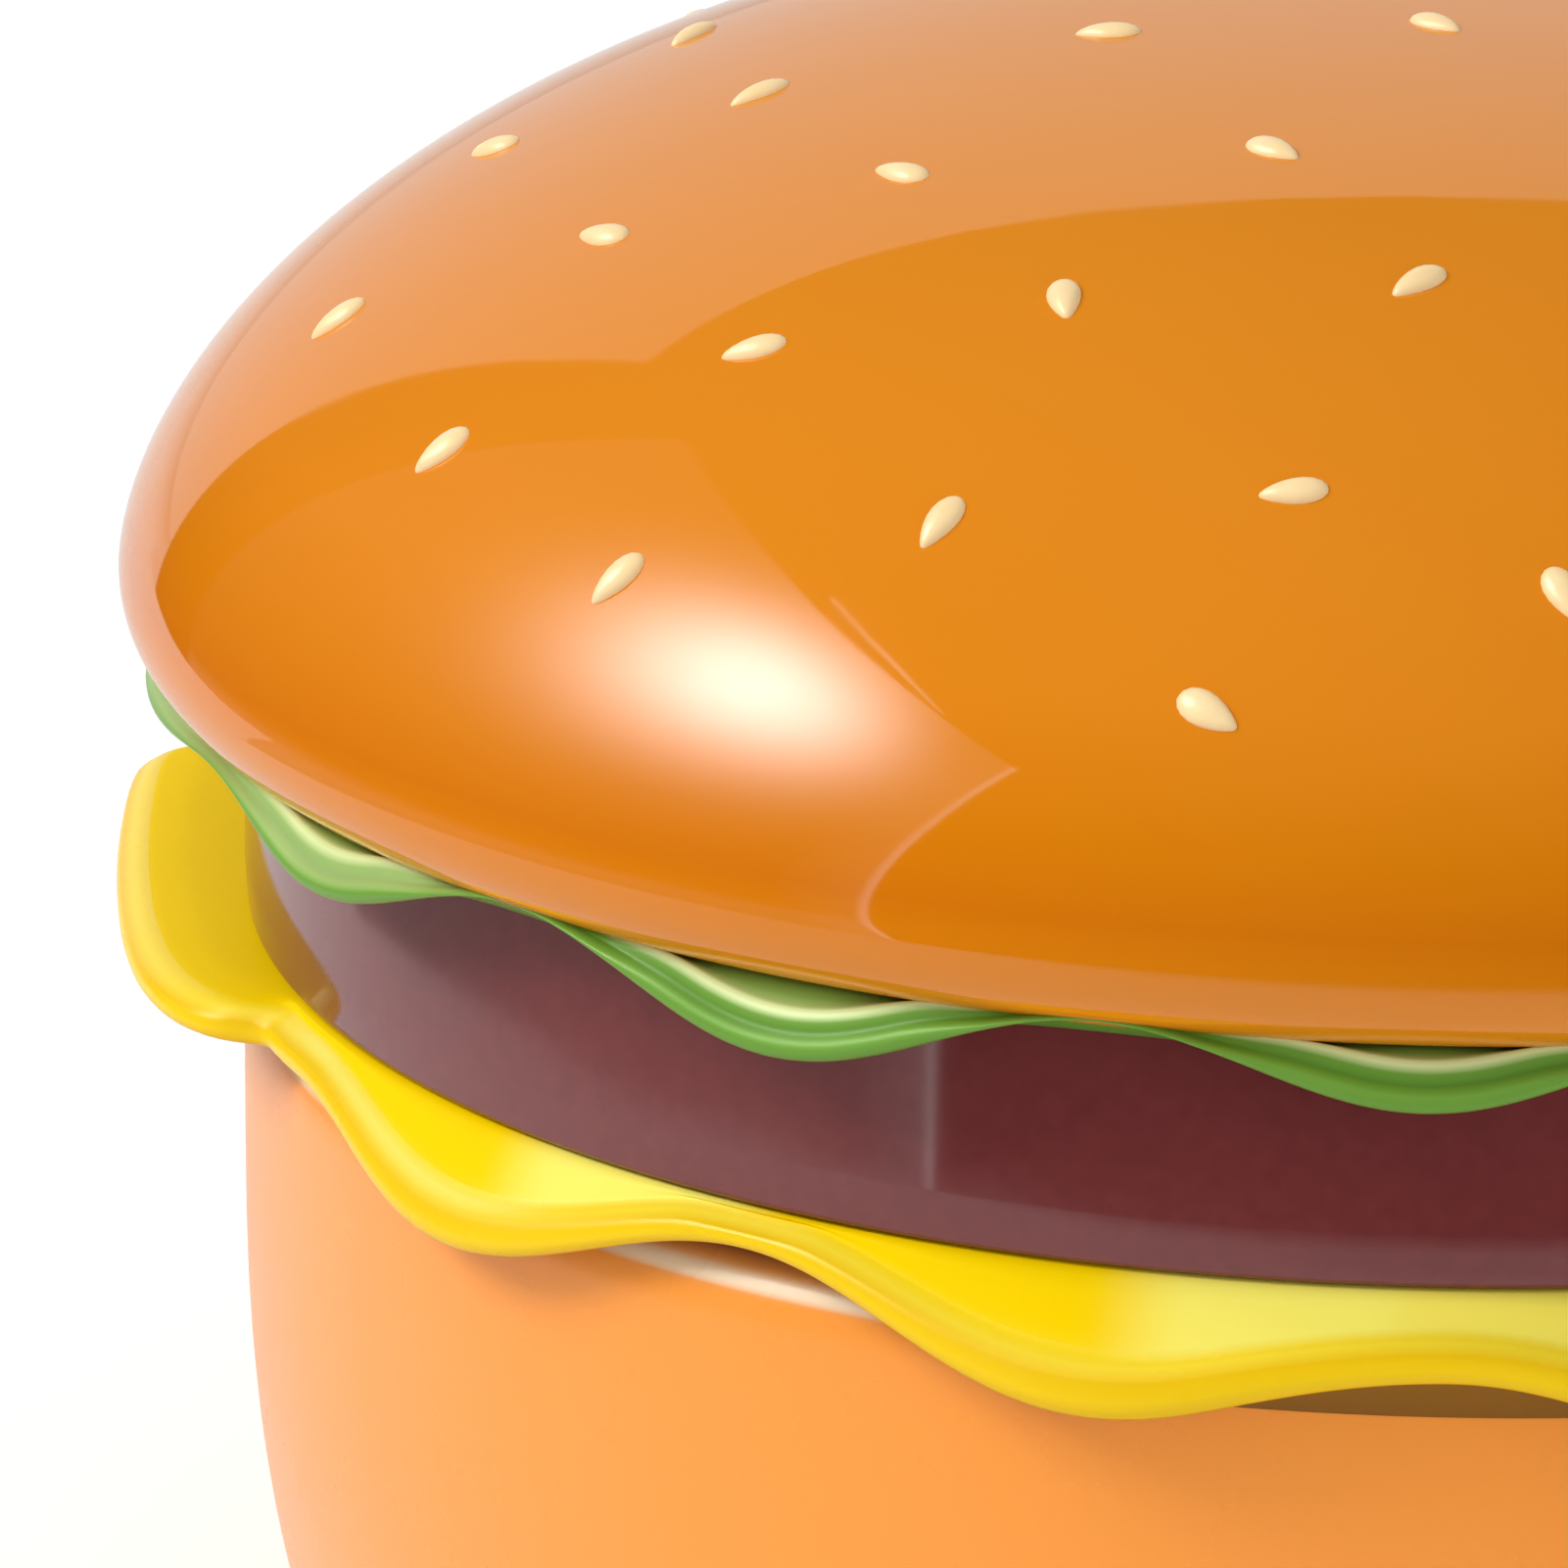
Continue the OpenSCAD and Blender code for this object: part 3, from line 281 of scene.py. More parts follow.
foot = [bm.verts.new(p - Vector((0, 0, backdrop["under"])))
        for p in arc(180 - backdrop["half"], 180 + backdrop["half"], backdrop["radius"])]
feet = [bm.edges.new(pair) for pair in zip(foot, foot[1:])]
raised = bmesh.ops.extrude_edge_only(bm, edges=feet)["geom"]
bmesh.ops.translate(bm, vec=(0, 0, backTopZ + backdrop["under"]),
                    verts=[g for g in raised if isinstance(g, bmesh.types.BMVert)])
studioPiece(bm, "backdrop", backMat)

# Big softbox on the left with its lamp behind the cloth, seen only in reflections: dim at its foot, with a
# wide halo round the lamp and a brighter hem down its front edge. It stands at x, its other places are y
# or z.
softbox = {
    "x": -3.0, "front": -2.5, "back": 2.95, "top": 4.45, "foot": -1.7,
    "low": 0.05, "high": 0.19, "highAt": 3.0, "footLevel": 0.36, "footFrom": -0.3, "footAt": -0.7,
    "lamp": (-0.36, 3.17), "glow": 17.5, "glowWide": 0.68, "glowTall": 0.7, "halo": 0.6, "haloWide": 1.1,
    "hemFrom": 0.1, "hemFull": 0.04, "hemLevel": 1.8, "fadeFrom": 0.7, "fadeLevel": 0.4,
    "strapLevel": 3.0,     # a loose strap over the cloth draws the thin streak beside the hot spot
    "strap": [(-1.35, 4.5), (-0.55, 4.6), (0.5, 4.68), (0.5, 4.72), (-0.55, 4.66), (-1.35, 4.52)],
}
panelMat, panelTree = newMaterial("softboxCloth")
panelPlace = addNode(panelTree, "TexCoord")
panelShift = addNode(panelTree, "VectorMath",
                     {"operation": "SUBTRACT", 1: Vector((softbox["x"], *softbox["lamp"]))},
                     {0: panelPlace.outputs["Object"]})
panelAxes = addNode(panelTree, "SeparateXYZ", links={0: panelPlace.outputs["Object"]})


def bell(wide, tall, level, under):     # a round bright patch on the cloth, added to what lies under it
    scaled = addNode(panelTree, "VectorMath", {"operation": "DIVIDE", 1: (1, wide, tall)}, {0: panelShift})
    square = addNode(panelTree, "VectorMath", {"operation": "DOT_PRODUCT"}, {0: scaled, 1: scaled})
    halved = addNode(panelTree, "Math", {"operation": "MULTIPLY", 1: -0.5}, {0: square.outputs["Value"]})
    curve = addNode(panelTree, "Math", {"operation": "EXPONENT"}, {0: halved})
    return addNode(panelTree, "Math", {"operation": "MULTIPLY_ADD", 1: level}, {0: curve, 2: under})


clothParts = [addNode(panelTree, "MapRange",
                      {"From Min": start, "From Max": end, "To Min": low, "To Max": high},
                      {"Value": panelAxes.outputs[axis]})
              for axis, start, end, low, high in (
                  ("Z", 0, softbox["highAt"], softbox["low"], softbox["high"]),
                  ("Z", softbox["footFrom"], softbox["footAt"], 0, softbox["footLevel"]),
                  ("Y", softbox["front"] + softbox["fadeFrom"], softbox["front"], 0, softbox["fadeLevel"]),
                  ("Y", softbox["front"] + softbox["hemFrom"], softbox["front"] + softbox["hemFull"], 0,
                   softbox["hemLevel"]))]
clothSum = clothParts[0]
for part in clothParts[1:]:
    clothSum = addNode(panelTree, "Math", {"operation": "ADD"}, {0: clothSum, 1: part})
haloSum = bell(softbox["haloWide"], softbox["haloWide"], softbox["halo"], clothSum)
panelGlow = bell(softbox["glowWide"], softbox["glowTall"], softbox["glow"], haloSum)
panelLight = addNode(panelTree, "Emission", links={"Strength": panelGlow})
finishMaterial(panelTree, panelLight)


def panelSheet(name, mat, x, corners):     # a flat sheet at x, through corners given as y and z
    bm = bmesh.new()
    bm.faces.new([bm.verts.new((x, y, z)) for y, z in corners])
    studioPiece(bm, name, mat)


def evenGlow(name, level):                 # a white sheet that shines evenly
    mat, tree = newMaterial(name)
    finishMaterial(tree, addNode(tree, "Emission", {"Strength": level}))
    return mat


panelSheet("softbox", panelMat, softbox["x"],
           [(softbox["front"], softbox["foot"]), (softbox["back"], softbox["foot"]),
            (softbox["back"], softbox["top"]), (softbox["front"], softbox["top"])])
panelSheet("softboxStrap", evenGlow("whiteStrap", softbox["strapLevel"]), softbox["x"], softbox["strap"])

# A dim white reflector on the right, for the reflections on the side away from the softbox
reflector = {"x": 3.0, "level": 0.5, "corners": [(-1, 0.2), (2.4, 0.2), (2.4, 3.4), (-1, 3.4)]}
panelSheet("sideReflector", evenGlow("whiteReflector", reflector["level"]), reflector["x"],
           reflector["corners"])


# The softbox's light on the phone and a weak front light; the panels above carry their reflections
def softLamp(name, azimuth, height, distance, size, level):
    way = direction(azimuth, height)
    data = bpy.data.lights.new(name, "AREA")
    data.shape, data.size = "SQUARE", size
    data.energy = level * pi ** 2 * distance ** 2
    lamp = addObject(name, data)
    turned = way.to_track_quat("Z", "Y").to_matrix().to_4x4()
    lamp.matrix_world = Matrix.Translation(way * distance) @ turned
    lamp.visible_glossy = lamp.visible_camera = False


for lampName, lampPlace in studio["lamps"].items():
    softLamp(lampName, *lampPlace)

# The room: white to the camera and an even fill to the object, a little stronger from the pale floor below.
# Shiny surfaces see the white backdrop, the softbox and the reflector instead, and little between them.
world = bpy.data.worlds.new("studioRoom")
scene.world = world
world.use_nodes = True
roomTree = world.node_tree
roomTree.nodes.clear()
roomRays = addNode(roomTree, "LightPath")
seen = addNode(roomTree, "Math", {"operation": "MAXIMUM"},
               {0: roomRays.outputs["Is Camera Ray"], 1: roomRays.outputs["Is Transmission Ray"]})
roomPlace = addNode(roomTree, "TexCoord")
roomUp = addNode(roomTree, "SeparateXYZ", links={0: roomPlace.outputs["Generated"]})
roomFill = addNode(roomTree, "MapRange",
                   {"From Min": -studio["horizon"], "From Max": studio["horizon"],
                    "To Min": studio["fillLow"], "To Max": studio["fill"]}, {"Value": roomUp.outputs["Z"]})
roomLevel = addNode(roomTree, "Mix", {"data_type": "FLOAT", 3: studio["roomGloss"]},
                    {0: roomRays.outputs["Is Glossy Ray"], 2: roomFill})
roomWhite = addNode(roomTree, "Mix", {"data_type": "FLOAT", 3: 1.0}, {0: seen, 2: roomLevel})
roomGlow = addNode(roomTree, "Background", {"Color": (1, 1, 1, 1)}, {"Strength": roomWhite})
addNode(roomTree, "OutputWorld", links={"Surface": roomGlow})
print("studio built")


# Materials
plastic = {     # what all the mouldings share: mottled tones, and places dulled by hands
    "mottleLow": 0.93, "mottleHigh": 1.03, "heightShare": 0.75,
    "touchSize": 14, "touchBetween": (0.4, 0.75),
}


def colourRamp(tree, source, stops):     # stops as (place from 0 to 1, hex colour)
    ramp = addNode(tree, "ValToRGB", links={0: source})
    marks = ramp.color_ramp.elements
    while len(marks) < len(stops):
        marks.new(0.5)
    for mark, (place, code) in zip(marks, stops):
        mark.position, mark.color = place, srgb(code)
    return ramp


def finishSurface(mat, look, settings, colour, worn, skin, wornBetween=(0, 1)):
    # Every surface ends alike: worn places are duller than the rest, and the skin's relief bends the light
    tree = mat.node_tree
    dulled = addNode(tree, "MapRange",
                     {"From Min": wornBetween[0], "From Max": wornBetween[1],
                      "To Min": look["roughness"], "To Max": look["roughness"] + look["wear"]},
                     {"Value": worn})
    shader = addNode(tree, "BsdfPrincipled", settings,
                     {"Base Color": colour, "Roughness": dulled, "Normal": skin})
    finishMaterial(tree, shader)
    return mat


def mouldedPlastic(name, look):
    # ABS from a polished steel mould: one deep colour all through and sharp reflections, which waver slowly
    # where the wall shrank as it cooled, and dull a little where hands have been
    mat, tree = newMaterial(name)
    place = addNode(tree, "TexCoord").outputs["Object"]
    flow, handled, waver, grain = [
        addNode(tree, "TexNoise", {"Scale": 1 / (size * mm), "Detail": detail, "Roughness": rough},
                {"Vector": place})
        for size, detail, rough in ((look["flowSize"], 3.0, 0.5), (plastic["touchSize"], 4.0, 0.6),
                                    (look["waverSize"], 1.0, 0.5), (look["grainSize"], 2.0, 0.5))]
    colour = addNode(tree, "Mix", {"data_type": "RGBA", 6: srgb(look["colour"]), 7: srgb(look["flowColour"])},
                     {0: flow})
    if "tones" in look:     # tones that follow the section from point to point, painted light and shade among them, mixed towards the colour of the painted light where the second attribute asks
        along = addNode(tree, "Attribute", {"attribute_name": "along"})
        ramp = colourRamp(tree, along.outputs["Fac"],
                          [(point / look["points"], code) for point, code in look["tones"]])
        paintedLightShare = addNode(tree, "Attribute", {"attribute_name": "paintedLight"})
        toned = addNode(tree, "Mix", {"data_type": "RGBA", 7: srgb(look["paintedLight"])},
                        {0: paintedLightShare.outputs["Fac"], 6: ramp})
        mottle = addNode(tree, "MapRange", {"To Min": plastic["mottleLow"], "To Max": plastic["mottleHigh"]},
                         {"Value": flow})
        colour = addNode(tree, "Mix", {"data_type": "RGBA", "blend_type": "MULTIPLY", 0: 1.0},
                         {6: toned.outputs[2], 7: mottle})
    if "heights" in look:     # tones that follow the height above the table: painted light among them, the top bun's lighter rim and the cream painted highlight on the bottom bun's ledge
        upward = addNode(tree, "SeparateXYZ", links={0: place})
        low, high = look["heights"][0][0], look["heights"][-1][0]
        level = addNode(tree, "MapRange", {"From Min": low * mm, "From Max": high * mm},
                        {"Value": upward.outputs["Z"]})
        ramp = colourRamp(tree, level,
                          [((height - low) / (high - low), code) for height, code in look["heights"]])
        colour = addNode(tree, "Mix", {"data_type": "RGBA", 0: plastic["heightShare"]},
                         {6: colour.outputs[2], 7: ramp})
    wavy = addNode(tree, "Bump", {"Strength": 1.0, "Distance": look["waverHeight"] * mm}, {"Height": waver})
    skin = addNode(tree, "Bump", {"Strength": 1.0, "Distance": look["grainHeight"] * mm},
                   {"Height": grain, "Normal": wavy})
    gloss = {"IOR": look["ior"], "Specular IOR Level": look.get("specular", 0.5),
             "Sheen Weight": look.get("sheen", 0)}
    return finishSurface(mat, look, gloss, colour.outputs[2], handled, skin, plastic["touchBetween"])


def plainMetal(name, look):
    # Metal as it comes from the press, the roller or the plating bath: fine grain and rubbed patches break up
    # the reflections, so small parts read as metal and not as grey plastic
    mat, tree = newMaterial(name)
    place = addNode(tree, "TexCoord").outputs["Object"]
    grain = addNode(tree, "TexNoise", {"Scale": 1 / (look["grainSize"] * mm), "Detail": 3.0},
                    {"Vector": place})
    colour = addNode(tree, "Mix",
                     {"data_type": "RGBA", 6: srgb(look["colour"]), 7: srgb(look["grainColour"])}, {0: grain})
    rubbed = addNode(tree, "TexNoise", {"Scale": 1 / (look["rubbedSize"] * mm), "Detail": 2.0},
                     {"Vector": place})
    skin = addNode(tree, "Bump", {"Strength": 1.0, "Distance": look["grainHeight"] * mm}, {"Height": grain})
    return finishSurface(mat, look, {"Metallic": look["metal"]}, colour.outputs[2], rubbed, skin)


def laminate(name, look):
    # Glass-epoxy board under green solder mask: a faint weave and the paler lines of the copper below
    mat, tree = newMaterial(name)
    place = addNode(tree, "TexCoord").outputs["Object"]
    tracks = addNode(tree, "TexBrick",
                     {"Scale": 1 / mm, "Color1": srgb(look["mask"]), "Color2": srgb(look["maskDark"]),
                      "Mortar": srgb(look["track"]), "Mortar Size": look["trackWide"],
                      "Brick Width": look["trackPitch"] * 4, "Row Height": look["trackPitch"]},
                     {"Vector": place})
    weave = addNode(tree, "TexNoise", {"Scale": 1 / (look["weaveSize"] * mm), "Detail": 2.0},
                    {"Vector": place})
    skin = addNode(tree, "Bump", {"Strength": 1.0, "Distance": look["weaveHeight"] * mm}, {"Height": weave})
    return finishSurface(mat, look, {}, tracks.outputs["Color"], weave, skin)


bunLook = {     # the glossiest moulding; its tones change with height: darker orange just above the widest point, and a lighter rim below it, which is painted light from the pale floor
    "colour": "#E08A1E", "flowColour": "#DC8010", "flowSize": 30, "roughness": 0.03, "wear": 0.04,
    "waverSize": 9, "waverHeight": 0.012, "grainSize": 0.5, "grainHeight": 0.0004, "ior": 1.5,
    "heights": [(63, "#EE9212"), (66.5, "#E08206"), (69.5, "#CE6C00"), (73, "#D47800"), (79, "#E0851A"),
                (97, "#E28C24")],
}
lettuceLook = {     # satin; its tones carry painted light and shade: a pale painted highlight along the ridge of the fold, and painted shade in the groove below it and on the underside
    "colour": "#76A83A", "flowColour": "#679A2C", "flowSize": 8, "roughness": 0.34, "wear": 0.08,
    "waverSize": 3, "waverHeight": 0.015, "grainSize": 0.5, "grainHeight": 0.0008, "ior": 1.4,
    "points": 16, "paintedLight": "#D0E69C",
    "tones": [(2, "#78A642"), (3.6, "#88B452"), (4.5, "#B4D480"), (5.1, "#E0F4B0"), (5.7, "#E0F4B0"),
              (6.6, "#6EA234"), (8, "#568A26"), (9.4, "#72A63A"), (11, "#689C34"), (12, "#508426"),
              (14, "#44761C")],
}
cheeseLook = {     # the lip, polished; its upper face has a fine mould texture and a dull shine
    "colour": "#F5CB00", "flowColour": "#EFC200", "flowSize": 20, "roughness": 0.24, "wear": 0.08,
    "waverSize": 7, "waverHeight": 0.02, "grainSize": 0.6, "grainHeight": 0.0006, "ior": 1.42,
    "specular": 0.32, "points": 21, "paintedLight": "#FFF06A",
    # the tones carry painted light and shade: the lighter ridge is a painted highlight, the light line at the
    # lip's outermost point a painted reflection, the olive lower edge and the brown skirt under the lip
    # painted shade
    "tones": [(5, "#FFD600"), (6.5, "#FFD600"), (7.4, "#FFDC1C"), (8.4, "#FFE038"), (9.6, "#F4C600"),
              (11, "#FCD20C"), (12.5, "#F0C400"), (13.6, "#B08A00"), (15, "#986400"), (18, "#6C4000")],
}
cheeseTopLook = {**cheeseLook, "roughness": 0.5, "wear": 0.05, "ior": 1.3, "specular": 0.05}
lowerBunLook = {     # satin with the soft bloom of bread; the cream band on the ledge under the cheese is a painted highlight
    "colour": "#FF9E38", "flowColour": "#FC962C", "flowSize": 26, "roughness": 0.26, "wear": 0.06,
    "waverSize": 8, "waverHeight": 0.015, "grainSize": 0.7, "grainHeight": 0.0008, "ior": 1.5, "sheen": 0.2,
    "heights": [(1.5, "#FF9C32"), (44.9, "#FF9C32"), (45.2, "#FFF2D0"), (45.7, "#FFF2D0"),
                (46.05, "#FFA84C"), (46.5, "#FFA84C")],
}
pattyLook = {     # a glossy skin over meat-like flecks
    "colour": "#7A3636", "flowColour": "#6A2C2D", "flowSize": 1.1, "roughness": 0.06, "wear": 0.04,
    "waverSize": 9, "waverHeight": 0.003, "grainSize": 0.5, "grainHeight": 0.0002, "ior": 1.58,
}
seedLook = {     # cream paint, thick enough to round off the texture
    "colour": "#FFE6B4", "flowColour": "#FFD898", "flowSize": 1.4, "roughness": 0.28, "wear": 0.1,
    "waverSize": 1.2, "waverHeight": 0.03, "grainSize": 0.25, "grainHeight": 0.004, "ior": 1.5,
}
deckLook = {     # the yellow plate round the keys, finely textured
    "colour": "#F5CB00", "flowColour": "#EFC200", "flowSize": 20, "roughness": 0.3, "wear": 0.08,
    "waverSize": 9, "waverHeight": 0.012, "grainSize": 0.35, "grainHeight": 0.003, "ior": 1.45,
}
ivoryLook = {     # key caps and knobs, satin
    "colour": "#F1E7CB", "flowColour": "#EBDFBE", "flowSize": 5, "roughness": 0.28, "wear": 0.1,
    "waverSize": 4, "waverHeight": 0.006, "grainSize": 0.25, "grainHeight": 0.002, "ior": 1.5,
}
redLook = {**ivoryLook, "colour": "#B4261C", "flowColour": "#A61F18"}
blackLook = {**ivoryLook, "colour": "#17171A", "flowColour": "#1E1E21", "roughness": 0.36}
rubberLook = {     # pressed rubber or cast silicone: dull, with no sharp reflection
    "colour": "#1B1B1C", "flowColour": "#262626", "flowSize": 2, "roughness": 0.68, "wear": 0.15,
    "waverSize": 3, "waverHeight": 0.01, "grainSize": 0.15, "grainHeight": 0.006, "ior": 1.45,
}
siliconeLook = {**rubberLook, "colour": "#8E9096", "flowColour": "#84868C", "roughness": 0.5}
inkLook = {     # a thin printed film, duller than the cap that it lies on
    "colour": "#2A2624", "flowColour": "#37322F", "flowSize": 0.6, "roughness": 0.45, "wear": 0.1,
    "waverSize": 1, "waverHeight": 0.002, "grainSize": 0.1, "grainHeight": 0.001, "ior": 1.45,
}
paleInkLook = {**inkLook, "colour": "#F6F2EA", "flowColour": "#EDE8DE"}
filmLook = {     # rolled film: smooth, amber and slightly wavy
    "colour": "#C68A3A", "flowColour": "#B87C30", "flowSize": 3, "roughness": 0.2, "wear": 0.1,
    "waverSize": 2, "waverHeight": 0.01, "grainSize": 0.2, "grainHeight": 0.0005, "ior": 1.6,
}
screwLook = {
    "colour": "#C6C8CC", "grainColour": "#AEB0B5", "grainSize": 0.3, "grainHeight": 0.002,
    "rubbedSize": 2.5, "roughness": 0.38, "wear": 0.15, "metal": 1.0,
}
brightLook = {**screwLook, "colour": "#E2E3E6", "grainColour": "#D2D4D8", "roughness": 0.26}
capsuleLook = {**screwLook, "colour": "#D4D5D8", "grainColour": "#C4C5C9", "roughness": 0.42}
magnetLook = {**screwLook, "colour": "#5C5D60", "grainColour": "#4C4D50", "roughness": 0.6, "metal": 0.3}
goldLook = {**screwLook, "colour": "#E2B354", "grainColour": "#D8A544", "roughness": 0.28}
boardLook = {
    "mask": "#1F6B3A", "maskDark": "#1B6033", "track": "#3C8F54", "trackPitch": 1.27, "trackWide": 0.12,
    "weaveSize": 0.6, "weaveHeight": 0.01, "roughness": 0.34, "wear": 0.12,
}

bunPlastic = mouldedPlastic("bunMouldedAbs", bunLook)
lettucePlastic = mouldedPlastic("lettuceMouldedAbs", lettuceLook)
cheesePlastic = mouldedPlastic("cheeseMouldedAbs", cheeseLook)
cheeseTopPlastic = mouldedPlastic("cheeseTexturedAbs", cheeseTopLook)
lowerBunPlastic = mouldedPlastic("lowerBunMouldedAbs", lowerBunLook)
pattyPlastic = mouldedPlastic("pattyTexturedAbs", pattyLook)
seedPaint = mouldedPlastic("seedPaintedAbs", seedLook)
deckPlastic = mouldedPlastic("deckMouldedAbs", deckLook)
ivoryPlastic = mouldedPlastic("ivoryMouldedAbs", ivoryLook)
redPlastic = mouldedPlastic("redMouldedAbs", redLook)
darkInk = mouldedPlastic("padPrintedInk", inkLook)
paleInk = mouldedPlastic("whitePadPrintedInk", paleInkLook)

# The parts that keep the exact solids of the model
carried = {
    deckPlastic: ["keypad_plate", "hinge_block"],
    pattyPlastic: ["earpiece_plate", "hinge_arm"],
    ivoryPlastic: ["ringer_knob", "tone_knob"],
    mouldedPlastic("blackMouldedAbs", blackLook): ["receiver_retainer", "hook_plunger", "hook_switch",
                                                   "line_jack", "ringer_cup", "main_chips"],
    mouldedPlastic("pressedRubber", rubberLook): ["rubber_feet", "mic_boot", "receiver_gasket"],
    mouldedPlastic("castSilicone", siliconeLook): ["keypad_mat"],
    laminate("maskedGlassEpoxy", boardLook): ["keypad_board", "main_board"],
    plainMetal("zincPlatedSteel", screwLook): ["retainer_screws", "lid_screws", "arm_screws", "board_screws",
                                               "main_board_screws", "case_screws", "deck_screws",
                                               "hinge_screws"],
    plainMetal("nickelPlatedSteel", brightLook): ["hinge_pin", "hook_spring", "receiver_frame",
                                                  "ringer_switch", "tone_switch"],
    plainMetal("sinteredFerrite", magnetLook): ["receiver_magnet"],
    plainMetal("drawnAluminium", capsuleLook): ["mic_capsule"],
    plainMetal("goldPlatedBrass", goldLook): ["jack_contacts", "piezo_disc"],
    mouldedPlastic("rolledPolyimideFilm", filmLook): ["receiver_diaphragm", "keypad_ribbon"],
}
for mat, names in carried.items():
    for name in names:
        nodes[name].data.materials.clear()
        nodes[name].data.materials.append(mat)
print("materials made")

# Top bun
topBun = {"radius": 70.7, "dome": 30.5, "crownPower": 2.4, "sidePower": 1.64, "widest": 67.75, "rimWide": 4.4,
          "rimHigh": 4.6, "flange": 60.1, "flangeTop": 65.4, "wall": 2.5, "rows": 60, "rimRows": 14,
          "innerRows": 24, "steps": 288}


def domeArc(radius, height, rows):     # flatter on top than an ellipse and fuller at the sides
    return [(radius * max(cos(t), 0) ** (2 / topBun["crownPower"]) if i < rows else 0,
             topBun["widest"] + height * sin(t) ** (2 / topBun["sidePower"]))
            for i, t in enumerate(quarterTurn(rows))]


def domeHeight(r):
    share = 1 - (r / topBun["radius"]) ** topBun["crownPower"]
    return topBun["widest"] + topBun["dome"] * share ** (1 / topBun["sidePower"])


outer = domeArc(topBun["radius"], topBun["dome"], topBun["rows"])[::-1]
rim = [(topBun["radius"] - topBun["rimWide"] * (1 - cos(t)),
        topBun["widest"] - topBun["rimHigh"] * sin(t)) for t in quarterTurn(topBun["rimRows"])[1:]]
insideRadius = topBun["radius"] - topBun["wall"]
hollow = [(topBun["flange"], topBun["widest"] - topBun["rimHigh"]), (topBun["flange"], topBun["flangeTop"]),
          (insideRadius, topBun["flangeTop"])]
inner = domeArc(insideRadius, topBun["dome"] - topBun["wall"], topBun["innerRows"])
bm = spinOutline(outer + rim + hollow + inner, topBun["steps"], closed=False)
settle(makeObject(bm, "topBun", [bunPlastic]), "lid", "bun_orange", "top_bun")
print("top bun spun")

# Sesame seeds
# One third of the dome: direction from the tab, distance from the axis, and turn from the ring
seeds = {
    "length": 3.5, "width": 1.95, "height": 0.62, "sunk": 0.1, "thirds": 3, "bare": (2, 16),
    "plump": 0.9, "uneven": 0.16, "taper": 0.32, "blunt": 0.1, "thin": 0.75,
    "scatter": [(-16.5, 42.7, 21), (16.1, 19.9, 116), (70.7, 6.8, 29), (8.7, 37.5, 72), (-2.8, 51.1, 125),
                (36.3, 36.7, 167), (66.2, 26.8, 23), (22.7, 48.5, 155), (11, 59.7, 97), (60.4, 43.1, 57),
                (84.4, 38.9, 131), (43.8, 50.9, 138), (30.8, 61.1, 105), (79.3, 54.2, 167), (61.9, 57.9, 99),
                (47, 63.4, 109), (92.9, 59.2, 69), (77.3, 64.7, 28)],
}
bm = bmesh.new()
for third in range(seeds["thirds"]):
    for number, (turned, r, twist) in enumerate(seeds["scatter"]):
        if (third, number) == seeds["bare"]:
            continue
        a = turned + 360 / seeds["thirds"] * third
        slope = atan2(domeHeight(r - 0.5) - domeHeight(r + 0.5), 1)
        made = bmesh.ops.create_uvsphere(bm, u_segments=16, v_segments=10, radius=1)["verts"]
        bmesh.ops.rotate(bm, matrix=Matrix.Rotation(radians(90), 3, "Y"), verts=made)
        plump = seeds["plump"] + seeds["uneven"] * noise.noise(Vector((number, third, 3.7)))
        for vert in made:          # a drop: blunt at one end, drawn out at the other
            taper = 1 - seeds["taper"] * vert.co.x - seeds["blunt"] * vert.co.x ** 2
            vert.co.y *= taper
            vert.co.z *= seeds["thin"] + (1 - seeds["thin"]) * taper
        size = Vector((seeds["length"] / 2, seeds["width"] / 2 * plump, seeds["height"])) * mm
        bmesh.ops.scale(bm, vec=size, verts=made)
        bmesh.ops.transform(bm, verts=made, matrix=(
            Matrix.Translation(around(a, r, domeHeight(r) - seeds["sunk"]))
            @ Matrix.Rotation(radians(a + 180), 4, "Z") @ Matrix.Rotation(slope, 4, "Y")
            @ Matrix.Rotation(radians(90 - twist), 4, "Z")))
bmesh.ops.remove_doubles(bm, verts=bm.verts, dist=weldDistance)
bmesh.ops.recalc_face_normals(bm, faces=bm.faces)
settle(makeObject(bm, "sesameSeeds", [seedPaint], sharp=80), "lid", "seed_cream", "sesame_seeds")
print("seeds set")

# Lettuce
# calmFrom, and the From pair of the painted light, are angles from the finger tab between which its waves
# grow and the painted light on its fold ends
lettuce = {"waves": 13, "turn": 4.0, "middle": 61.95, "waveHeight": 2.0, "uneven": 0.35, "unevenWaves": 6,
           "unevenTurn": 60, "calm": 0.25, "calmFrom": (12, 30), "reach": 69.3, "sway": 0.3, "top": 63.1,
           "crest": 0.7, "under": 62.75, "inside": 60.1, "foldInside": 64.95, "lip": 2.5, "thinnest": 0.3,
           "foldPaintedLight": 0.38, "paintedLightPlaces": (5, 9), "paintedLightFrom": (38, 48), "steps": 208, "smooth": 2}


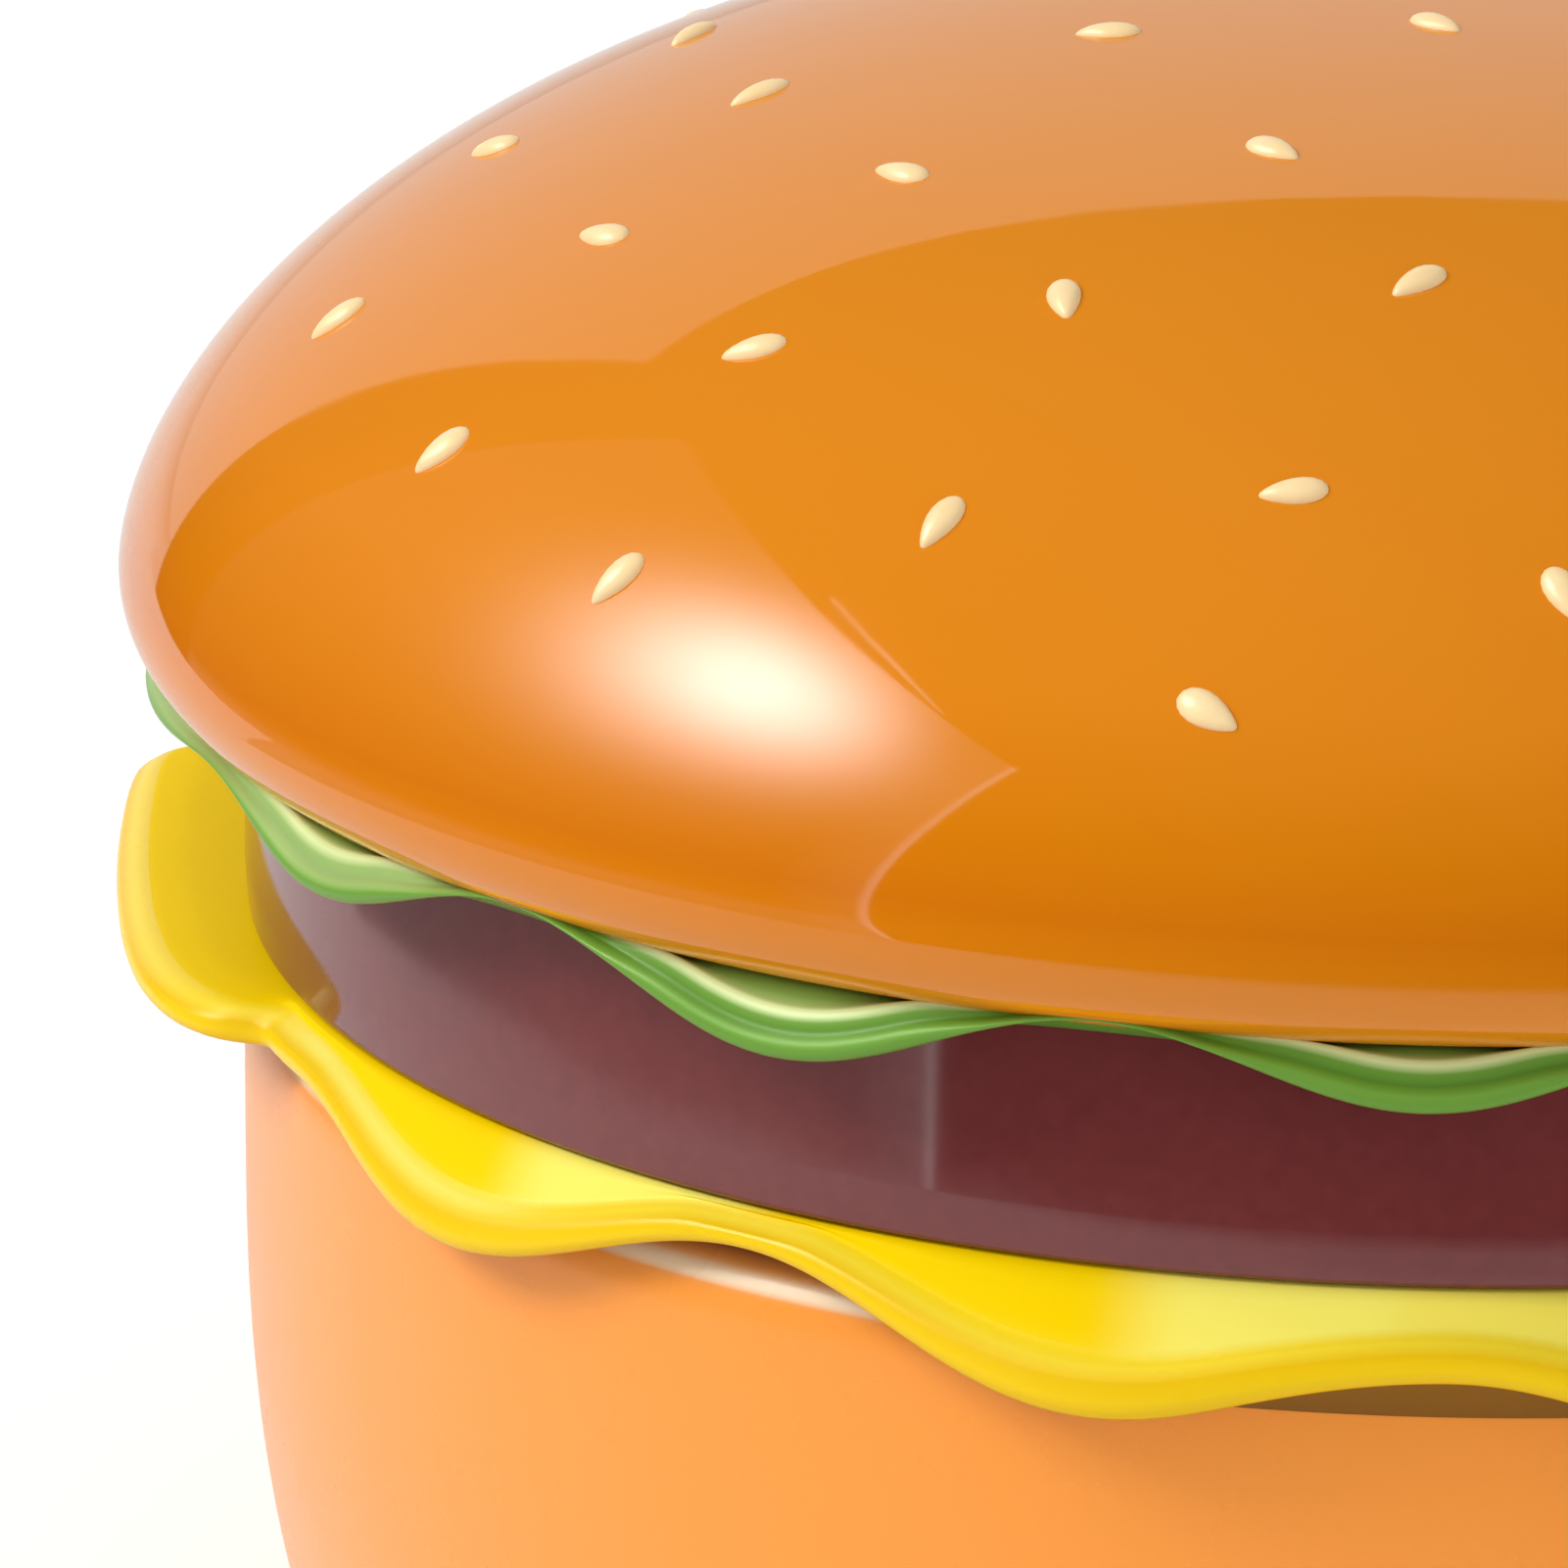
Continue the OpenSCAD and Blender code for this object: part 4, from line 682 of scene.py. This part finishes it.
def lettuceOutline(a):
    top, under, inside = lettuce["top"], lettuce["under"], lettuce["inside"]
    w = cos(radians(lettuce["waves"] * (a - lettuce["turn"])))
    w *= lettuce["calm"] + (1 - lettuce["calm"]) * smoothStep(*lettuce["calmFrom"], abs(a))
    uneven = lettuce["uneven"] * cos(radians(lettuce["unevenWaves"] * (a - lettuce["unevenTurn"])))
    low = lettuce["middle"] - lettuce["waveHeight"] * w - uneven
    edge = lettuce["reach"] + lettuce["sway"] * w
    highest = top + lettuce["crest"]
    k = max(lettuce["thinnest"], min(1, (highest - low) / lettuce["lip"]))     # the crests squeeze the frill
    crown = min(low + 2.45 * k, highest)
    leaf = [(inside, under), (inside, top), (edge - 3.0, top),
            (edge - 2.3, crown + 0.9 * (top - crown) if crown < top else top)]
    ridge = [(edge - 1.75, min(crown + 0.1, top + 0.2)), (edge - 1.3, crown + 0.1 * k),
             (edge - 0.95, crown - 0.25 * k)]
    groove = [(edge - 0.74, low + 1.75 * k), (edge - 0.66, low + 1.4 * k), (edge - 0.25, low + 1.15 * k)]
    bead = [(edge, low + 0.75 * k), (edge - 0.08, low + 0.3 * k), (edge - 0.45, low),
            (edge - 1.1, low + 0.02)]
    back = [(edge - 1.8, min(low + 1.0, under - 0.05)), (edge - 2.6, min(low + 1.8, under)),
            (lettuce["foldInside"], under)]
    return leaf + ridge + groove + bead + back


def lettucePaintedLight(a, place):     # painted light: the fold next to the tab, on the softbox side, is painted paler
    first, last = lettuce["paintedLightPlaces"]
    near = 1 - smoothStep(*lettuce["paintedLightFrom"], abs(a))
    return lettuce["foldPaintedLight"] * near if first <= place <= last else 0


bm = spinWave(lettuceOutline, lettuce["steps"], lettucePaintedLight)
lettuceObj = makeObject(bm, "lettuceFrill", [lettucePlastic], sharp=80)
roundOff(lettuceObj, lettuce["smooth"])
settle(lettuceObj, "lid", "lettuce_green", "lettuce_frill")
print("lettuce shaped")

# Patty
# The skin copies minced meat: slow lumps with a finer chop over them
patty = {"outside": 64.2, "inside": 61.7, "foot": 49.65, "top": 62.75, "ledge": 57.2, "plateTop": 52.2,
         "wall": 2.5, "flange": 60.1, "footRadius": 0.35, "footRows": 5, "rows": 26, "steps": 400,
         "bandTop": 51.9, "bandLean": 0.07, "skin": 0.6, "lump": 8, "lumpHeight": 0.01, "fine": 1.3,
         "fineHeight": 0.0006}


def pattyRadius(z):     # upright, with a band along the foot that leans in a little
    return patty["outside"] - patty["bandLean"] * max(0, patty["bandTop"] - z)


footRadius, wallFoot = patty["footRadius"], patty["foot"] + patty["footRadius"]
curve = [(pattyRadius(wallFoot) - footRadius * (1 - sin(t)), wallFoot - footRadius * cos(t))
         for t in quarterTurn(patty["footRows"])]
wallRows = [(pattyRadius(z), z) for z in [wallFoot + (patty["top"] - wallFoot) * i / patty["rows"]
                                          for i in range(1, patty["rows"] + 1)]]
shelf, plateSeat = patty["top"] - patty["wall"] / 2, patty["plateTop"] + patty["wall"]
bm = spinOutline([(patty["inside"], patty["foot"])] + curve + wallRows + [
    (patty["flange"], patty["top"]), (patty["flange"], shelf), (patty["inside"], shelf),
    (patty["inside"], plateSeat), (patty["ledge"], plateSeat), (patty["ledge"], patty["plateTop"]),
    (patty["inside"], patty["plateTop"])], patty["steps"])
for vert in bm.verts:
    r, z = hypot(vert.co.x, vert.co.y) / mm, vert.co.z / mm
    if r > patty["outside"] - patty["skin"] and patty["foot"] + 0.1 < z < patty["top"] - 0.1:
        spot = vert.co / mm
        lump = (noise.noise(spot / patty["lump"]) * patty["lumpHeight"]
                + noise.noise(spot / patty["fine"] + Vector((7, 1, 3))) * patty["fineHeight"])
        vert.co.xy *= 1 + (lump - patty["lumpHeight"] * 0.6) / r
settle(makeObject(bm, "pattyRing", [pattyPlastic]), "lid", "patty_brown", "patty_ring")
print("patty spun")

# Cheese
# Pairs named From or At are angles from the finger tab between which something comes in or goes out
cheese = {
    "waves": 11, "drip": 72.3, "drop": 4.55, "waveHeight": 2.0, "uneven": 0.9, "unevenWaves": 3.83,
    "unevenTurn": 48, "lowSide": 0.7, "lowSideFrom": (78, 88), "reach": 1.6, "flare": 0.5, "split": 49.5,
    "bed": 45.9, "well": 50, "wellBevel": 0.35, "flat": 57, "ledge": 45.3, "shelf": 46.9, "throat": 61.9,
    "tabReach": 71.1, "tabTurn": -0.8, "tabHalf": 19.7, "tabPower": (16, 3.8), "tabLean": 0.11, "tabLip": 2.3,
    "tabEndAt": (17, 28), "skirtWide": 64.55, "skirtFoot": 43.1, "skirtFrom": (66, 76),
    # the flank, front and ridge entries below place the cheese's painted light
    "flankRise": (-0.15, 0.75), "flankTurn": 8, "flankFrom": (32, 44), "frontShare": 0.8,
    "frontFrom": (78, 85), "frontEndAt": (98, 110), "ridgeHighlightFrom": (19, 25), "ridgeHighlightEndAt": (40, 46),
    "topPlaces": (3, 6.8), "steps": 396, "smooth": 1,
    "hingeGap": ((51.7, -13.2, 40), (75, 13.2, 60)),
}


def cheeseDrop(m):     # how far the lip hangs under the split, m degrees from the tab
    drips = cos(radians(cheese["waves"] * (m - cheese["drip"])))
    uneven = cos(radians(cheese["unevenWaves"] * (m - cheese["unevenTurn"])))
    wave = cheese["drop"] + cheese["waveHeight"] * drips - cheese["uneven"] * uneven
    wave += cheese["lowSide"] * smoothStep(*cheese["lowSideFrom"], m)
    return cheese["tabLip"] + (wave - cheese["tabLip"]) * smoothStep(*cheese["tabEndAt"], m)


def cheeseOutline(a):
    m = abs(a)
    drop = cheeseDrop(m)
    rim = patty["outside"] + cheese["reach"] + cheese["flare"] * (drop - cheese["tabLip"])
    off = abs(a - cheese["tabTurn"])     # squarer at its rear corner than at the front one
    tab = max(0, 1 - (off / cheese["tabHalf"]) ** cheese["tabPower"][a > cheese["tabTurn"]]) ** 0.5
    straight = cos(radians(min(off, cheese["tabHalf"]))) ** 0.6
    reach = (cheese["tabReach"] - cheese["tabLean"] * a) / straight
    edge = rim + (reach - rim) * tab
    well, bed, top, low = cheese["well"], cheese["bed"], cheese["split"], cheese["split"] - drop
    lip = min(1.45 + 0.22 * drop, drop - 0.2)
    start = max(patty["outside"] + 0.15, edge - 3.6)
    fall = top - (low + lip)
    face = [(well, bed), (well, top - cheese["wellBevel"]), (well + cheese["wellBevel"], top),
            (cheese["flat"], top), (start - 0.9, top), (start, top - 0.02),
            (start + (edge - 1.7 - start) * 0.5, low + lip + fall * 0.52), (edge - 1.7, low + lip + 0.1)]
    roll = [(edge - 1.1, low + lip - 0.12), (edge - 0.5, low + lip - 0.55), (edge - 0.15, low + lip * 0.62),
            (edge, low + lip * 0.36), (edge - 0.08, low + lip * 0.14), (edge - 0.4, low + 0.02),
            (max(edge - 1.0, 64.9), low + 0.03)]
    foot, wide, shelf = cheese["skirtFoot"], cheese["skirtWide"], max(low + 0.5, cheese["shelf"])
    b = smoothStep(*cheese["skirtFrom"], m)          # the skirt below the lip starts beyond the second drip; its brown tones are painted shade under the lip
    back = [(64.75, shelf + (max(low, foot) + 0.5 - shelf) * b),
            (64.4 + (wide - 64.4) * b, shelf + 0.05 + (foot + 0.1 - shelf) * b),
            (63.2 + (wide - 63.3) * b, shelf + 0.06 + (foot - 0.06 - shelf) * b),
            (62.2 + 2.12 * b, shelf + 0.05 + (foot - 0.05 - shelf) * b),
            (62.1 + 2.2 * b, shelf - 0.1 + (44.85 - shelf) * b)]
    return face + roll + back + [(cheese["throat"], cheese["ledge"]), (cheese["throat"] - 0.2, bed)]


def cheesePaintedLight(a, place):     # painted light: the flank of each fold that runs up from its drip, and the front, are painted a paler yellow, and the ridge near the tab gets a painted highlight
    m = abs(a)
    rising = sin(radians(cheese["waves"] * (m - cheese["drip"]) - cheese["flankTurn"]))
    front = smoothStep(*cheese["frontFrom"], m) * (1 - smoothStep(*cheese["frontEndAt"], m))
    flank = max(smoothStep(*cheese["flankRise"], rising), cheese["frontShare"] * front)
    face = flank * smoothStep(*cheese["flankFrom"], m)
    ridge = smoothStep(*cheese["ridgeHighlightFrom"], m) * (1 - smoothStep(*cheese["ridgeHighlightEndAt"], m))
    return {4: face, 5: face, 6: face, 7: face, 8: ridge}.get(place, 0)


bm = spinWave(cheeseOutline, cheese["steps"], cheesePaintedLight)
along = bm.verts.layers.float["along"]
first, last = cheese["topPlaces"]
for face in bm.faces:      # the upper face is lightly textured, the lip is polished
    middle = sum(vert[along] for vert in face.verts) / len(face.verts) * cheeseLook["points"]
    face.material_index = 1 if first < middle < last else 0
cheeseObj = makeObject(bm, "cheeseRim", [cheesePlastic, cheeseTopPlastic], sharp=80)
roundOff(cheeseObj, cheese["smooth"])
cheeseObj.data = finalMesh(cheeseObj)
cheeseObj.modifiers.clear()
gap = bmesh.new()
box(gap, *cheese["hingeGap"])
carve(cheeseObj, gap)
settle(cheeseObj, "base", "cheese_yellow", "cheese_rim")
print("cheese shaped")

# Bottom bun
lowerBun = {"radius": 64.27, "floor": 1.5, "waist": 36.5, "power": 2.54, "taper": 63.5, "heel": 10.3,
            "heelPower": 14, "top": 45.9, "shoulderWide": 2.2, "shoulderHigh": 3.2, "ledge": 46.5,
            "throat": 61, "lean": 0.4, "wall": 2.5, "wallTop": 42.6, "sideRows": 28, "shoulderRows": 10,
            "innerRows": 14, "steps": 256}
socketBay = {"halfWide": 25, "from": 57.4, "to": 72, "low": 22.5, "high": 39.5, "wall": 2.5, "blockTo": 70,
             "jackX": -13, "jackWide": 10.6, "jackLow": 27.8, "jackHigh": 37.4, "knobsX": (3, 16.5),
             "slotWide": 6.6, "slotLow": 27.7, "slotHigh": 31.3, "holesFrom": 50.4, "holesTo": 58,
             "plugWide": 59, "plugSteps": 128}
underside = {"soundX": -8, "soundY": -18, "soundPitch": 4, "soundWide": 1.6, "soundLong": 14, "soundTop": 6,
             "screwRadius": 42, "screwTurns": (45, 135, 225, 315), "screwBore": 3.0, "screwTop": 4.6}


def bunSide(inset, rows):
    waist, floor, power = lowerBun["waist"], lowerBun["floor"], lowerBun["power"]
    side = []
    for i in range(rows + 1):
        z = waist - (waist - floor - inset) * (1 - i / rows) ** 0.6     # rows crowd towards the heel
        down = waist - z
        r = lowerBun["radius"] * (1 - (down / lowerBun["taper"]) ** power) ** (1 / power)
        r -= lowerBun["heel"] * (down / (waist - floor)) ** lowerBun["heelPower"]
        side.append((r - inset, z))
    return side


side = bunSide(0, lowerBun["sideRows"])
insideSide = bunSide(lowerBun["wall"], lowerBun["innerRows"])
shoulder = [(lowerBun["radius"] - lowerBun["shoulderWide"] * (1 - cos(t)),
             lowerBun["ledge"] - lowerBun["shoulderHigh"] * (1 - sin(t)))
            for t in quarterTurn(lowerBun["shoulderRows"])]
throat, ledge = lowerBun["throat"] - lowerBun["wall"], lowerBun["top"] - lowerBun["lean"]
lipRing = [(lowerBun["throat"] + 1, ledge), (throat, lowerBun["top"]), (throat, lowerBun["wallTop"])]
bm = spinOutline([(0, lowerBun["floor"])] + side + shoulder + lipRing + insideSide[::-1]
                 + [(0, lowerBun["floor"] + lowerBun["wall"])], lowerBun["steps"], closed=False)
lowerBunObj = makeObject(bm, "bottomBun", [lowerBunPlastic])

# The bay's walls are the part of a slightly smaller solid bun that lies inside a block
bay, wall = socketBay, socketBay["wall"]
solid = spinOutline([(0, lowerBun["floor"] + 0.1)] + [(r - 0.02, z + 0.02) for r, z in side]
                    + [(bay["plugWide"], ledge), (0, ledge)], bay["plugSteps"], closed=False)
pocketObj = makeObject(solid, "pocket", [lowerBunPlastic])
block = bmesh.new()
box(block, (-bay["halfWide"] - wall, bay["from"] - wall, bay["low"] - wall),
    (bay["halfWide"] + wall, bay["blockTo"], bay["high"] + wall))
carve(pocketObj, block, "INTERSECT")
pocket = bmesh.new()
pocket.from_mesh(pocketObj.data)
bpy.data.objects.remove(pocketObj)
carve(lowerBunObj, pocket, "UNION")
recess = bmesh.new()
box(recess, (-bay["halfWide"], bay["from"], bay["low"]), (bay["halfWide"], bay["to"], bay["high"]))
carve(lowerBunObj, recess)
holes = bmesh.new()
for x, wide, low, high in [(bay["jackX"], bay["jackWide"], bay["jackLow"], bay["jackHigh"])] + [
        (x, bay["slotWide"], bay["slotLow"], bay["slotHigh"]) for x in bay["knobsX"]]:
    box(holes, (x - wide / 2, bay["holesFrom"], low), (x + wide / 2, bay["holesTo"], high))
for i in range(-2, 3):
    x, y = underside["soundX"] + underside["soundPitch"] * i, underside["soundY"]
    box(holes, (x - underside["soundWide"] / 2, y - underside["soundLong"] / 2, 0),
        (x + underside["soundWide"] / 2, y + underside["soundLong"] / 2, underside["soundTop"]))
for a in underside["screwTurns"]:
    spot = around(a, underside["screwRadius"], 0) / mm
    rod(holes, spot.xy, underside["screwBore"], -1, underside["screwTop"])
carve(lowerBunObj, holes)
bm = bmesh.new()
bm.from_mesh(lowerBunObj.data)
bmesh.ops.remove_doubles(bm, verts=bm.verts, dist=0.02 * mm)
bmesh.ops.dissolve_degenerate(bm, edges=bm.edges, dist=0.01 * mm)
bpy.data.objects.remove(lowerBunObj)
settle(makeObject(bm, "bottomBun", [lowerBunPlastic]), "base", "bun_peach", "bottom_bun")
print("bottom bun turned")

# Keys
# The reader sits at the finger tab, so the legends read from that side: their tops point to +X
keys = {
    "capX": 8.6, "capY": 12, "corner": 1.6, "flange": 1.0, "foot": 42.7, "flangeTop": 43.7, "top": 48.5,
    "dish": 0.22, "cornerSteps": 5,
    # a cap's dished top, from its upright side inwards: how far in, how far down, and the corner's shrinking
    "profile": [(0, 1.12, 0), (0.04, 1.0, 0.04), (0.24, 0.42, 0.24), (0.4, 0.16, 0.4), (0.54, 0.02, 0.4),
                (0.76, 0.02, 0.4), (1.2, 0.154, 0.4), (1.6, 0.22, 0.6)],
    "rows": (20, 7, -6, -19), "columns": (16, 0, -16), "serviceX": -32,
    "number": 4.6, "star": 7.5, "numberX": 1.1, "letters": 1.9, "lettersX": -2.35, "word": 2.0,
    "inkHigh": 0.05, "inkCurve": 4,
    "caps": [("1", "1", ""), ("2", "2", "ABC"), ("3", "3", "DEF"), ("4", "4", "GHI"), ("5", "5", "JKL"),
             ("6", "6", "MNO"), ("7", "7", "PQRS"), ("8", "8", "TUV"), ("9", "9", "WXYZ"), ("star", "*", ""),
             ("0", "0", "OPER"), ("hash", "#", "")],
    "service": [("mute", "MUTE"), ("flash", "FLASH"), ("redial", "REDIAL")],
}


def keyRing(bm, inward, z, cut):     # a rounded rectangle of edges at height z
    halfX, halfY, corner = keys["capX"] / 2 - inward, keys["capY"] / 2 - inward, keys["corner"] - cut
    verts = []
    for quarter, (sx, sy) in enumerate(((1, 1), (-1, 1), (-1, -1), (1, -1))):
        for i in range(keys["cornerSteps"] + 1):
            t = pi / 2 * (quarter + i / keys["cornerSteps"])
            verts.append(bm.verts.new(Vector((sx * (halfX - corner) + corner * cos(t),
                                              sy * (halfY - corner) + corner * sin(t), z)) * mm))
    return verts, [bm.edges.new((verts[i - 1], verts[i])) for i in range(len(verts))]


def printed(bm, text, size, x):     # a legend as a thin layer on the dish, x up the key from its middle
    curve = bpy.data.curves.new("legend", "FONT")
    curve.body, curve.size, curve.align_x, curve.align_y = text, size * mm, "CENTER", "CENTER"
    curve.resolution_u, curve.extrude = keys["inkCurve"], keys["inkHigh"] / 2 * mm
    legend = addObject("legend", curve)
    mesh = finalMesh(legend)
    bpy.data.objects.remove(legend)
    spots = [vert.co for vert in mesh.vertices]
    centre = Vector([(min(spot[axis] for spot in spots) + max(spot[axis] for spot in spots)) / 2
                     for axis in range(3)])
    mesh.transform(Matrix.Translation(Vector((x, 0, keys["top"] - keys["dish"])) * mm)
                   @ Matrix.Rotation(radians(-90), 4, "Z") @ Matrix.Translation(-centre))
    known = set(bm.faces)
    bm.from_mesh(mesh)
    fresh = [face for face in bm.faces if face not in known]
    for face in fresh:
        face.material_index = 1
    inkVerts = list({vert for face in fresh for vert in face.verts})
    bmesh.ops.remove_doubles(bm, verts=inkVerts, dist=weldDistance)


def keyCap(name, x, y, plastic, ink, slotName, legends):
    wide, foot, flangeTop = keys["flange"], keys["foot"], keys["flangeTop"]
    bm = bmesh.new()
    rings = [keyRing(bm, *ring) for ring in [(-wide, foot, 0), (-wide, flangeTop, 0), (0, flangeTop, 0)] + [
        (inward, keys["top"] - down, cut) for inward, down, cut in keys["profile"]]]
    for lower, upper in zip(rings, rings[1:]):
        bmesh.ops.bridge_loops(bm, edges=lower[1] + upper[1])
    bm.faces.new(rings[0][0])
    bm.faces.new(rings[-1][0])
    bmesh.ops.recalc_face_normals(bm, faces=bm.faces)
    for legend in legends:
        printed(bm, *legend)
    bmesh.ops.translate(bm, vec=Vector((x, y, 0)) * mm, verts=bm.verts)
    settle(makeObject(bm, name + "Cap", [plastic, ink]), name, slotName, name)


for number, (name, figure, letters) in enumerate(keys["caps"]):
    size = keys["star"] if name == "star" else keys["number"]
    legends = [(figure, size, keys["numberX"] if letters else 0)]
    if letters:
        legends.append((letters, keys["letters"], keys["lettersX"]))
    keyCap("key_" + name, keys["rows"][number // 3], keys["columns"][number % 3], ivoryPlastic, darkInk,
           "key_ivory", legends)
for y, (name, word) in zip(keys["columns"], keys["service"]):
    keyCap("key_" + name, keys["serviceX"], y, redPlastic, paleInk, "key_red", [(word, keys["word"], 0)])
print("keys capped and printed")
